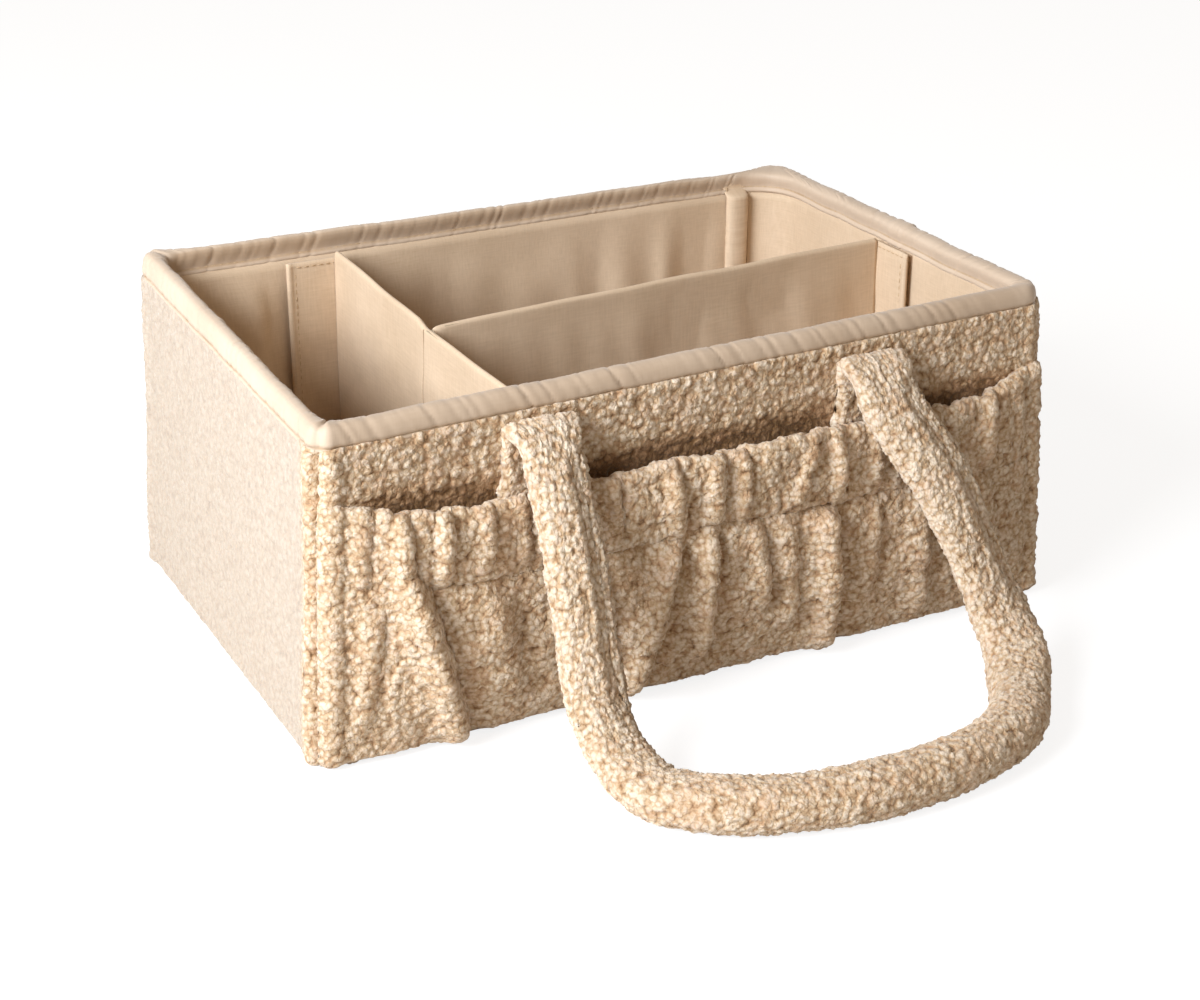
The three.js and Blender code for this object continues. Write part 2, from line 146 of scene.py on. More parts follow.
fleeceLook = {
    # ramp colours from the crevices, darkened as painted shade, up to the pale tips
    "crevice": "#7A5B3A",
    "shade": "#AE8A67",
    "body": "#C9AD8B",
    "tip": "#E6D4BE",
    "peach": "#CAA17F",
    # the paler, greyer colour painted as a highlight on pile brushed flat
    "pressedAndHighlight": "#AFA498",
    "sheen": "#FFF2E2",
    "nub": (0.0027, 0.85),  # size of the nubs and of the curls on them, and each one's share of the relief
    "curl": (0.0011, 0.25),
    "fibre": (0.0004, 0.2),
    "level": 0.85,  # height where all of them are nil
    "swirl": 0.0028,  # size and strength of the swirls that the curls follow
    "swirled": 0.0020,
    "relief": 0.0017,
    "peachShare": 0.4,
}


def makeFleece():
    # Curly polyester teddy fleece, knitted and tumbled: matt nubs of curled fibre with pale tips,
    # painted brown shade in the crevices between them, and a haze of loose fibre that catches light from the
    # side
    look = fleeceLook
    material, tree, shader = newMaterial(
        "curly_teddy_fleece",
        Roughness=0.95,
        Sheen_Weight=0.5,
        Sheen_Roughness=0.45,
        Sheen_Tint=linear(look["sheen"]),
        Specular_IOR_Level=0.1,
        Subsurface_Weight=0.1,
        Subsurface_Radius=(0.0022, 0.0014, 0.0009),
        Subsurface_Scale=1.0,
    )
    # What the mesh says: how far up a nub it is, the clump's tint, and where pressed pile gets a painted
    # highlight
    raised, tint, pressedAndHighlight = [
        addNode(tree, "Attribute", {"attribute_name": name}).outputs["Fac"]
        for name in ("curl", "tint", "pressedAndHighlight")
    ]
    place = addNode(tree, "TexCoord").outputs["Object"]
    swirl = addNode(tree, "TexNoise", links={"Vector": place, "Scale": 1 / look["swirl"], "Detail": 1.0})
    warp = {0: swirl.outputs["Color"], 1: (look["swirled"],) * 3, 2: place}
    warped = addNode(tree, "VectorMath", {"operation": "MULTIPLY_ADD"}, warp)
    # Height of the pile: round nubs with narrow crevices, the curls on them and loose fibre
    size, depth = look["fibre"]
    loose = {"Vector": place, "Scale": 1 / size, "Detail": 3.0, "Roughness": 0.7}
    fibre = addNode(tree, "TexNoise", links=loose)
    height = addNode(tree, "Math", {"operation": "MULTIPLY_ADD"}, {0: fibre, 1: depth, 2: look["level"]})
    for size, depth in (look["nub"], look["curl"]):
        cell = addNode(tree, "TexVoronoi", links={"Vector": warped, "Scale": 1 / size})
        squared = addNode(tree, "Math", {"operation": "POWER"}, {0: cell, 1: 2.0})
        height = addNode(tree, "Math", {"operation": "MULTIPLY_ADD"}, {0: squared, 1: -depth, 2: height})
    # Colour follows the height: painted shade down in the crevices, paler up on the nubs
    level = addNode(tree, "Math", {"operation": "MULTIPLY_ADD"}, {0: raised, 1: 0.6, 2: height})
    spread = addNode(tree, "MapRange", links={"Value": level, "From Min": 0.35, "From Max": 1.4})
    stops = zip((0.05, 0.35, 0.65, 0.95), (look["crevice"], look["shade"], look["body"], look["tip"]))
    colour = setRamp(addNode(tree, "ValToRGB", links={"Fac": spread}), list(stops))
    # Some clumps are a little redder, and where the pile is brushed flat it is even and painted paler, as a
    # highlight
    redder = {"Value": tint, "From Min": 0.5, "To Max": look["peachShare"]}
    peachShare = addNode(tree, "MapRange", links=redder)
    for share, name in ((peachShare, "peach"), (pressedAndHighlight, "pressedAndHighlight")):
        mix = {"Factor": share, 6: colour, 7: linear(look[name])}
        colour = addNode(tree, "Mix", {"data_type": "RGBA", "blend_type": "MIX"}, mix).outputs[2]
    flatter = {"Value": pressedAndHighlight, "To Min": look["relief"], "To Max": 0.1 * look["relief"]}
    depth = addNode(tree, "MapRange", links=flatter)
    joinSurface(tree, shader, colour, height, 0.75, depth)
    return material


def makeWoven(name, pale, dark, thread, rough, sheen, relief, streak=0.35, paintedShade=None):
    # A plain weave seen close: two sets of threads, drawn about three times coarser than they are
    # so that they show, over a slow change of colour
    material, tree, shader = newMaterial(
        name, Roughness=rough, Sheen_Weight=sheen, Sheen_Roughness=0.4, Specular_IOR_Level=0.3
    )
    cloth = addNode(tree, "UVMap", {"uv_map": "cloth"})
    sets = []
    for scale in ((1 / thread, 0.09 / thread, 1), (0.09 / thread, 1 / thread, 1)):
        mapping = addNode(tree, "Mapping", links={"Vector": cloth, "Scale": scale})
        threads = {"Vector": mapping, "Scale": 1.0, "Detail": 2.0, "Roughness": 0.6}
        sets.append(addNode(tree, "TexNoise", {"noise_dimensions": "2D"}, threads))
    woven = addNode(tree, "Math", {"operation": "ADD"}, {0: sets[0], 1: sets[1]})
    halved = addNode(tree, "Math", {"operation": "MULTIPLY"}, {0: woven, 1: 0.5})
    place = addNode(tree, "TexCoord").outputs["Object"]
    slow = {"Vector": place, "Scale": 22.0, "Detail": 2.0, "Roughness": 0.5}
    cloudy = addNode(tree, "TexNoise", links=slow)
    mixed = addNode(tree, "Mix", {"data_type": "FLOAT"}, {"Factor": streak, 2: cloudy, 3: halved})
    colour = setRamp(addNode(tree, "ValToRGB", links={"Fac": mixed}), [(0.3, dark), (0.7, pale)])
    # Painted shade where the mesh marks it, down a seam's groove or on the tape
    if paintedShade:
        where = addNode(tree, "Attribute", {"attribute_name": "paintedShade"}).outputs["Fac"]
        mix = {"Factor": where, 6: colour, 7: linear(paintedShade)}
        colour = addNode(tree, "Mix", {"data_type": "RGBA", "blend_type": "MIX"}, mix).outputs[2]
    joinSurface(tree, shader, colour, halved, 0.5, relief)
    return material


def makeGrained(name, pale, dark, size, rough, relief, sheen=0.0):
    # A grain on object coordinates, for board, wadding, thread and the hook and loop tapes
    material, tree, shader = newMaterial(name, Roughness=rough, Sheen_Weight=sheen, Specular_IOR_Level=0.25)
    place = addNode(tree, "TexCoord").outputs["Object"]
    fine = {"Vector": place, "Scale": 1 / size, "Detail": 3.0, "Roughness": 0.6}
    grain = addNode(tree, "TexNoise", links=fine)
    colour = setRamp(addNode(tree, "ValToRGB", links={"Fac": grain}), [(0.3, dark), (0.7, pale)])
    joinSurface(tree, shader, colour, grain, 0.6, relief)
    return material


finishes = {
    "fleece": makeFleece(),
    # Brushed polyester lining, plain woven: smooth and matt, a warm sand colour, with painted shade in a seam
    "lining": makeWoven(
        "woven_polyester_lining", "#DBC3A7", "#C6AD8F", 0.0011, 0.72, 0.12, 0.00016, 0.6, paintedShade="#745539"
    ),
    # Satin-woven bias tape: a greyer beige, with a soft sheen along its puckers, and painted shade along
    # the sunk stitch lines, inside the back rim and, a little, over the front
    "binding": makeWoven("satin_bias_tape", "#D2BEA8", "#C2AC95", 0.0010, 0.55, 0.2, 0.00012, paintedShade="#9E7F5C"),
    # Cotton canvas under the base: a coarser weave
    "canvas": makeWoven("cotton_canvas", "#C3A680", "#AE9069", 0.0014, 0.85, 0.1, 0.00018, 0.8),
    # Nylon hook tape: stiff dark hooks, and brushed loop tape: a soft pale nap
    "hook_tape": makeGrained("nylon_hook_tape", "#7A5E41", "#4E3A26", 0.0009, 0.6, 0.0006),
    "loop_tape": makeGrained("brushed_loop_tape", "#BF9F76", "#957650", 0.0010, 0.95, 0.0007, 0.4),
    # Knitted elastic: off-white, ribbed across
    "elastic": makeWoven("knitted_elastic", "#EDE6D8", "#CFC6B6", 0.0016, 0.7, 0.1, 0.0003, 0.9),
    # Polyester wadding: white, matt and cloudy
    "wadding": makeGrained("polyester_wadding", "#F3EEE4", "#DCD4C4", 0.004, 1.0, 0.002, 0.5),
    # Pressed board: grey-brown, with a fine flat grain
    "stiff_board": makeGrained("grey_pressed_board", "#BCAC93", "#A7967C", 0.0013, 0.85, 0.0001),
}
# Spun polyester thread: a shade darker than what it sews
threadFinish = makeGrained("spun_sewing_thread", "#CDB391", "#A98C68", 0.0007, 0.6, 0.0001)
print("materials made")


# Cloth helpers

def smooth(value, low, high):
    t = np.clip((value - low) / (high - low), 0, 1)
    return t * t * (3 - 2 * t)


def bell(offset, width):
    # 1 in the middle, and falls off on both sides
    return np.exp(-((offset / width) ** 2))


def between(value, pairs, unit=1):
    # Straight lines through pairs of numbers
    return np.interp(value, *(np.array(pairs).T * unit))


def evenly(low, high, pitch):
    return np.linspace(low, high, max(2, int(round(abs(high - low) / pitch)) + 1))


def grid(x, y, z):
    return np.stack(np.broadcast_arrays(x, y, z), axis=-1)


def travelled(points):
    # How far along a line each of its points lies
    return np.concatenate([[0], np.cumsum(np.linalg.norm(np.diff(points, axis=0), axis=1))])


def wander(a, b, size, seed):
    # A slow wandering height from about -1 to 1, for cloth that isn't quite flat
    random = np.random.default_rng(seed)
    total = 0
    for _ in range(6):
        turn, phase = random.uniform(0, 2 * math.pi, 2)
        wave = size * random.uniform(0.7, 1.6)
        total = total + np.sin((a * math.cos(turn) + b * math.sin(turn)) * 2 * math.pi / wave + phase)
    return total / 3.5


def nubs(a, b, size, seed, wrap=0.0):
    # Rounded nubs about one size apart: their height from 0 to 1, and a number of each one's own.
    # wrap is the way round in b after which the pattern meets itself. Each cell of a square table
    # of draws says where in the cell its nub lies, how it is turned and how long and high it is.
    cells = 256
    table = np.random.default_rng(seed).random((cells, cells, 5))
    count = max(3, round(wrap / size)) if wrap else cells
    cellA = a / size
    cellB = b / (wrap / count) if wrap else b / size
    firstA, firstB = np.floor(cellA).astype(int), np.floor(cellB).astype(int)
    best = np.zeros(np.broadcast(a, b).shape)
    own = np.zeros_like(best)
    for stepA in (-1, 0, 1):
        for stepB in (-1, 0, 1):
            i, j = firstA + stepA, firstB + stepB
            draw = table[i % cells, (j % count) % cells]
            da = cellA - (i + 0.1 + 0.8 * draw[..., 0])
            db = cellB - (j + 0.1 + 0.8 * draw[..., 1])
            c, s = np.cos(draw[..., 2] * math.pi), np.sin(draw[..., 2] * math.pi)
            reach = ((da * c + db * s) / (1.0 + 0.3 * draw[..., 3])) ** 2
            reach = reach + ((db * c - da * s) / (0.78 + 0.2 * draw[..., 4])) ** 2
            height = np.sqrt(np.clip(1 - reach, 0, 1)) * (0.7 + 0.3 * draw[..., 4])
            better = height > best
            best = np.where(better, height, best)
            own = np.where(better, draw[..., 3], own)
    return best, own


pileSize = {
    "nub": 0.0040,
    "nubHeight": 0.0025,
    "filled": 0.25,  # share of a nub's height that its neighbours fill
    "clump": 0.0085,
    "clumpHeight": 0.0013,
    "stray": 0.0010,  # how far single curls stand up out of the pile
    "push": 0.0007,  # how far the nubs wander off their rows, and over what way
    "pushWay": 0.009,
    "round": 0.01,
}


def pile(a, b, seed, wrap=0.0, size=1.0):
    # The fleece's height in metres, how far up a nub each point is, and each clump's tint
    way = pileSize["round"] * np.sin(b / wrap * 2 * math.pi) if wrap else b
    push = pileSize["push"] * wander(a, way, pileSize["pushWay"], seed + 2)
    nub, nubOwn = nubs(a + push, b, size * pileSize["nub"], seed, wrap)
    nub = np.clip((nub - pileSize["filled"]) / (1 - pileSize["filled"]), 0, 1)
    clump, clumpOwn = nubs(a, b, pileSize["clump"], seed + 1, wrap)
    stray = np.random.default_rng(seed + 4).random(nub.shape) - 0.5
    stray[:, -1] = stray[:, 0]
    height = size * pileSize["nubHeight"] * nub + pileSize["clumpHeight"] * clump
    height = height + pileSize["stray"] * stray * nub
    return height, 0.72 * nub + 0.28 * clump, 0.5 * clumpOwn + 0.5 * nubOwn


def normalsOf(points, rowsMeet=False, colsMeet=False):
    # Unit normals of a grid of points, from its neighbours both ways
    def step(axis, meets):
        if meets:  # the last line lies on the first
            inner = np.take(points, range(points.shape[axis] - 1), axis)
            way = np.roll(inner, -1, axis) - np.roll(inner, 1, axis)
            return np.concatenate([way, np.take(way, [0], axis)], axis)
        return np.gradient(points, axis=axis)

    normal = np.cross(step(1, colsMeet), step(0, rowsMeet))
    return normal / np.maximum(np.linalg.norm(normal, axis=2, keepdims=True), 1e-12)


def finishPiece(name, bm, mesh, finish, body):
    bm.to_mesh(mesh)
    bm.free()
    mesh.shade_smooth()
    piece = bpy.data.objects.new(name, mesh)
    bpy.context.scene.collection.objects.link(piece)
    mesh.materials.append(finishes.get(finish) or finish)
    if body:
        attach(piece, body)
    return piece


def layCloth(name, points, cloth, finish, layers=None, body="basket"):
    # Lays a bmesh grid on rows and columns of points. Lines that lie on each other are merged,
    # and open ends are filled. cloth is the size of its UV map, in metres.
    rows, cols = points.shape[0] - 1, points.shape[1] - 1
    bm = bmesh.new()
    bm.loops.layers.uv.new("cloth")
    bmesh.ops.create_grid(bm, x_segments=cols, y_segments=rows, size=0.5, calc_uvs=True)
    mesh = bpy.data.meshes.new(name)
    bm.to_mesh(mesh)
    bm.free()
    flat = np.empty(len(mesh.vertices) * 3, np.float32)
    mesh.vertices.foreach_get("co", flat)
    flat = flat.reshape(-1, 3) + 0.5
    col, row = np.rint(flat[:, 0] * cols).astype(int), np.rint(flat[:, 1] * rows).astype(int)
    mesh.vertices.foreach_set("co", points[row, col].astype(np.float32).ravel())
    for key, values in (layers or {}).items():
        layer = mesh.attributes.new(key, "FLOAT", "POINT")
        values = np.broadcast_to(values, points.shape[:2])[row, col]
        layer.data.foreach_set("value", values.astype(np.float32))
    uv = mesh.uv_layers["cloth"].uv
    spread = np.empty(len(uv) * 2, np.float32)
    uv.foreach_get("vector", spread)
    uv.foreach_set("vector", (spread.reshape(-1, 2) * np.array(cloth, np.float32)).ravel())
    bm = bmesh.new()
    bm.from_mesh(mesh)
    bmesh.ops.remove_doubles(bm, verts=[v for v in bm.verts if v.is_boundary], dist=1e-6)
    bmesh.ops.holes_fill(bm, edges=[e for e in bm.edges if e.is_boundary], sides=0)
    bmesh.ops.recalc_face_normals(bm, faces=bm.faces)
    return finishPiece(name, bm, mesh, finish, body)


# The plan of the basket: one wall after another, from the middle of one corner to the next

def cornersOf(side, radii):
    # The radii at the start and at the end of a wall
    start = wallNames.index(side)
    return radii[start], radii[(start + 1) % 4]


def wallSize(side):
    run, across = basketSize["length"], basketSize["depth"]
    if side in ("right", "left"):
        run, across = across, run
    return run, across / 2, *cornersOf(side, basketSize["corners"])


def wallLength(side):
    run, _, first, last = wallSize(side)
    return run - (first + last) * (1 - math.pi / 4)


def wallTurn(side):
    # Turns a point on a wall to where it would be on the front wall
    return Matrix.Rotation(-wallNames.index(side) * math.pi / 2, 3, "Z")


def wallPoint(side, along, inset, z):
    # A point on a wall, along it from its middle and inset from its outer face, all in metres
    run, reach, first, last = wallSize(side)
    along, inset, z = np.broadcast_arrays(np.asarray(along, float), inset, z)
    x, y = along.copy(), -(reach - inset)
    innerRadii = cornersOf(side, basketSize["innerCorners"])
    for end, radius, soft in zip((-1, 1), (first, last), innerRadii):
        straight = wallLength(side) / 2 - radius * math.pi / 4
        inner = np.maximum(radius - inset, soft * smooth(inset, *basketSize["innerFrom"]))
        inner = np.maximum(inner, basketSize["leastCorner"])
        centre = run / 2 - inset - inner
        onArc = end * along > straight
        angle = np.clip((end * along - straight) / radius, 0, math.pi / 4)
        x = np.where(onArc, end * (centre + inner * np.sin(angle)), x)
        y = np.where(onArc, -(reach - inset - inner) - inner * np.cos(angle), y)
        x = np.where((end * along > 0) & ~onArc, along * centre / straight, x)
    turn = wallNames.index(side) * math.pi / 2
    c, s = math.cos(turn), math.sin(turn)
    return np.stack([x * c - y * s, x * s + y * c, z], axis=-1)


def rimLift(points):
    # How far soft cloth near the rim stands up or sags
    x, y, z = points[..., 0], points[..., 1], points[..., 2]
    right = np.clip(x / basketSize["length"] + 0.5, 0, 1)
    rear = np.clip(y / basketSize["depth"] + 0.5, 0, 1)
    frontLeft, frontRight, rearRight, rearLeft = basketSize["rimLift"]
    lift = (1 - rear) * ((1 - right) * frontLeft + right * frontRight)
    lift = lift + rear * ((1 - right) * rearLeft + right * rearRight)
    rise = basketSize["rearRise"] * rear * (1 - right) * smooth(z, 0.161, 0.169)
    return lift * smooth(z, *basketSize["softRim"]) + rise


def slump(points):
    # Soft walls don't stand quite true: the base spreads, and the rim rises and sags a little
    x, y, z = points[..., 0], points[..., 1], points[..., 2]
    low = np.clip(1 - z / basketSize["height"], 0, 1)
    nearSide = smooth(np.abs(y), 0.05, 0.118)
    spreadX = basketSize["endFlare"] * low * smooth(np.abs(x), 0.05, 0.185) * np.sign(x)
    spreadY = basketSize["sideFlare"] * low * nearSide * np.sign(y)
    spreadY = spreadY + basketSize["rearLean"] * smooth(z, *basketSize["softRim"]) * nearSide * (y > 0)
    return points + np.stack([spreadX, spreadY, rimLift(points)], axis=-1)


# Shape of the elasticated pockets

pocketShape = {
    "pitch": 0.00082,
    "foot": 0.0016,
    "thickness": 0.0024,
    "headerThickness": 0.0032,
    # along and how far the header stands off the wall, in mm
    "belly": [
        (-194, 1.6), (-175, 9), (-155, 14.5), (-122, 15.5), (-104, 12.5), (-72, 13), (-50, 16.5), (0, 17),
        (50, 16.5), (72, 13), (104, 12.5), (130, 15), (165, 10), (185, 3.5), (194, 1.6),
    ],
    # along and height of the mouth and of the stitched line below the elastic, in mm
    "mouth": [
        (-194, 133), (-172, 128), (-162, 126), (-143, 123), (-124, 121), (-104, 120.5), (-68, 121.8),
        (-40, 122.5), (-33, 124.5), (-11, 123.3), (11, 121.5), (22, 122.8), (56, 123), (82, 120),
        (125, 120.6), (151, 120.8), (163, 122.5), (185, 128.5), (194, 130),
    ],
    "stitch": [
        (-194, 95), (-149, 88), (-104, 84), (-57, 86), (-30, 87), (-14, 90), (14, 88), (66, 84),
        (101, 85), (170, 82), (194, 84),
    ],
    "footOut": 0.0022,  # how far it stands off the wall at its foot, and at least
    "leastOut": 0.0012,
    "bulge": 0.00252,
    "puff": 0.0016,
    "groove": 0.0034,  # depth and width of the stitched line
    "grooveWidth": 0.0022,
    "sag": 0.0009,
    "foldShare": 1.65,
    # Gathers: along and height of the top and the foot of each fold, how high it stands and how
    # wide, in mm. First those of the header, then those below it.
    "gathers": [
        (-177, 130, -178, 90, 1.6, 7), (-161, 128, -158, 88, 2.4, 6), (-141, 126, -141, 88, 3.0, 5),
        (-121, 128, -122, 92, 1.5, 6), (-104, 128, -102, 88, 1.2, 5), (-60, 126, -58, 90, 1.6, 6),
        (-29, 124, -26, 88, 2.8, 7), (-5, 126, -7, 89, 2.4, 8), (10, 124, 9, 86, 2.2, 4.5),
        (49, 122, 39, 90, 2.4, 6), (64, 122, 64, 86, 3.0, 6), (88, 124, 87, 90, 1.6, 6),
        (120, 126, 118, 90, 1.6, 8), (155, 127, 153, 86, 2.2, 7), (176, 128, 177, 90, 1.4, 7),
        (-157, 94, -130, 2, 5.2, 11), (-172, 80, -176, 20, 1.6, 9), (-118, 80, -108, 20, 1.6, 14),
        (-70, 84, -62, 30, 2.2, 10), (-30, 85, -47, 4, 4.8, 12), (-9, 87, -12, 16, 4.2, 9),
        (17, 85, 23, 36, 2.4, 8), (35, 84, 40, 20, 1.6, 8), (58, 84, 64, 2, 5.6, 12),
        (88, 80, 84, 30, 1.6, 9), (112, 82, 116, 10, 2.6, 12), (150, 80, 158, 14, 2.0, 10),
        (178, 78, 180, 14, 1.6, 8),
    ],
}


# Fleece of the outer walls

fleeceWall = {
    "foot": 0.0014,
    "faceFrom": 0.006,
    "under": 0.1597,  # where it slips under the binding
    "top": 0.1640,
    "back": 0.0040,
    # inset, height from the foot and share of the pile round its lower edge, and the same from
    # where it slips under the binding
    "hem": [(0.0035, 0, 0), (0.0022, 0, 0.3), (0.0008, 0.0008, 0.8), (0.0001, 0.0022, 1)],
    "tuck": [(0.0008, 0.0008, 0.3), (0.0014, 0.002, 0)],
    # height from which each wall shows, and how fine its grid is there and below
    "pitch": {
        "front": (0.126, 0.0008),
        "right": (0.0, 0.00095),
        "back": (0.126, 0.0009),
        "left": (0.0, 0.0008),
    },
    "coarse": 0.0022,
    "bulge": 0.0012,
    "pressedAndHighlight": {"left": 0.78},  # where the pile lies brushed flat and gets a painted highlight, from 0 to 1
    "cornerPull": 0.35,  # how much shorter the pile is at a corner
    "roll": (0.0020, 0.0048, 0.0030),  # rolled pile beside each corner seam: height, place and width
    "seam": (0.0030, 0.0019),  # depth and width of the seam itself
}


def besideSeam(side, along):
    # The rolled pile on each side of a corner seam, and the groove of the seam itself
    gap = wallLength(side) / 2 - np.abs(along)
    high, middle, wide = fleeceWall["roll"]
    deep, narrow = fleeceWall["seam"]
    return high * bell(gap - middle, wide) - deep * bell(gap, narrow)


def buildFleeceWall(side, seed):
    shape = fleeceWall
    showsFrom, pitch = shape["pitch"][side]
    foot, under, top, back = shape["foot"], shape["under"], shape["top"], shape["back"]
    half = wallLength(side) / 2
    column = evenly(-half, half, pitch)[None, :]
    toEnd = half - np.abs(column)
    coarse = evenly(shape["faceFrom"], showsFrom, shape["coarse"])[:-1] if showsFrom else []
    face = np.concatenate([coarse, evenly(max(showsFrom, shape["faceFrom"]), under, pitch)])
    hem, tuck = np.array(shape["hem"]), np.array(shape["tuck"])
    z = np.concatenate([foot + hem[:, 1], face, under + tuck[:, 1], [top, top, 0.11, 0.06, foot]])[:, None]
    behind = [tuck[-1, 0], back, back, back, hem[0, 0]]
    inset = np.concatenate([hem[:, 0], 0 * face, tuck[:, 0], behind])[:, None]
    weight = np.concatenate([hem[:, 2], 0 * face + 1, tuck[:, 2], np.zeros(5)])[:, None]
    bulge = shape["bulge"] * wander(column, z, 0.11, seed) * smooth(z, 0.0, 0.03) * smooth(0.162 - z, 0, 0.02)
    points = slump(wallPoint(side, column, inset - (bulge + besideSeam(side, column)) * weight, z))
    height, curl, tint = pile(column + 0 * z, z + 0 * column, seed)
    if side in ("front", "back"):
        # Inside the pocket the pile is shorter, and painted darker as shade
        mouth = between(column, pocketShape["mouth"], mm)
        inside = smooth(mouth + 0.015 - z, 0, 0.016) * smooth(toEnd, 0.012, 0.03)
        curl = curl - 1.1 * inside * weight
        height = height * (1 - 0.4 * inside)
    # Brushed flat and given a painted highlight, it still stands up towards the front corner
    pressedAndHighlight = shape["pressedAndHighlight"].get(side, 0) * smooth(half - column, 0.003, 0.020)
    height = height * (1 - 0.6 * pressedAndHighlight)
    pull = 1 - shape["cornerPull"] * bell(toEnd, 0.008)
    points = points + normalsOf(points, rowsMeet=True) * (height * weight * pull)[..., None]
    layers = {"curl": curl, "tint": tint * (1 - pressedAndHighlight), "pressedAndHighlight": pressedAndHighlight}
    piece = layCloth(f"{side}_wall_fleece", points, (2 * half, 2 * basketSize["height"]), "fleece", layers)
    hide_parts(f"{side}_fleece")


for number, side in enumerate(wallNames):
    buildFleeceWall(side, 11 + 10 * number)
print("fleece walls made")


# Binding folded over the rim

bindingShape = {
    "pitch": 0.0011,
    # height of the pillows along the tape, how far apart they lie and how far they slant
    "pucker": 0.0012,
    "spacing": 0.0070,
    "slant": 0.55,
    "ripple": 0.00045,  # height of the small ones between them, and how far apart these lie
    "rippleSpacing": 0.0031,
    "pinch": 0.0010,  # how far it is pinched at a corner, and the share of that at each
    "pinches": (1.0, 0.25, 0.2, 0.55, 1.0),
    "backSlope": 0.42,  # how far its top slopes at the back, up to what inset
    "slopeTo": 0.0080,
    "backPaintedShade": 0.5,  # how much painted shade it has inside the back rim, and over the front
    "frontPaintedShade": 0.26,
    "leftNarrow": 0.0019,  # how much narrower the tape is over the left wall
    # where its ends overlap, along the right wall, how far, and how thick
    "join": -0.0138,
    "overlap": 0.013,
    "thick": 0.0008,
    # inset and height of its section, outside, over the top and down inside, then back under, in mm
    "section": [
        (0.5, 158.8), (-0.8, 158.7), (-1.7, 159.3), (-1.75, 160.2), (-0.75, 161.0), (-1.35, 161.7),
        (-1.65, 163.0), (-1.55, 164.6), (-1.25, 166.2), (-0.8, 167.7), (0.0, 169.0), (0.9, 169.8),
        (2.1, 170.15), (3.5, 170.2), (4.9, 170.1), (6.3, 169.8), (7.6, 169.2), (8.55, 168.3),
        (8.85, 167.0), (8.7, 165.4), (8.35, 163.8), (8.05, 162.3), (7.95, 161.2), (8.7, 160.6),
        (9.2, 159.8), (9.25, 158.9), (8.9, 158.3), (8.4, 158.6), (7.3, 161.5), (6.9, 166.0),
        (5.4, 168.4), (2.6, 168.9), (1.0, 167.9), (0.2, 165.5), (0.2, 160.5), (0.5, 158.8),
    ],
    # rows of the section, with how freely each puckers and how much painted shade its sunk stitches give it
    "loose": [
        (0, 0), (2, 0.6), (5, 1), (9, 1), (14, 0.8), (19, 0.8), (21, 0.5), (25, 0.5), (27, 0), (35, 0),
    ],
    "stitched": [(3, 0), (4, 1), (5, 0.5), (6, 0), (21, 0), (22, 0.8), (23, 0)],
    "stitchRows": (4, 22),  # outside and inside
}


def creases(a, spacing, seed, total):
    # Soft pillows between creases that lie an uneven distance apart, from 0 in a crease to 1
    random = np.random.default_rng(seed)
    count = int(total / spacing)
    places = (np.arange(count) + random.uniform(-0.42, 0.42, count)) / count * total
    places = np.concatenate([places, [places[0] + total]])
    depth = random.uniform(0.1, 1, count) ** 1.3
    at = np.mod(a - places[0], total) + places[0]
    cell = np.clip(np.searchsorted(places, at, side="right") - 1, 0, count - 1)
    share = (at - places[cell]) / (places[cell + 1] - places[cell])
    nearer = np.where(share < 0.5, depth[cell], depth[(cell + 1) % count])
    return 1 - nearer * (1 - np.sqrt(np.clip(1 - (2 * share - 1) ** 2, 0, 1)))


def bindingPaintedShade(a, inset, z, ends):
    # Painted shade on the tape: along its sunk stitches, inside the back rim and, a little, over the front
    shape = bindingShape
    atBack = smooth(a - ends[2], 0.0, 0.05) * smooth(ends[3] - a, 0, 0.008)
    atBack = smooth(inset, 0.0074, 0.0088) * smooth(z, 0.1598, 0.1606) * atBack
    stitched = between(np.arange(len(inset)), shape["stitched"])[:, None]
    stitched = stitched * (0.75 + 0.25 * wander(a, 0 * a, 0.02, 9))
    atFront = smooth(a, 0, 0.012) * smooth(ends[1] - a, -0.004, 0.02) * smooth(0.010 - inset, 0, 0.003)
    return np.maximum(np.maximum(shape["backPaintedShade"] * atBack, stitched), shape["frontPaintedShade"] * atFront)


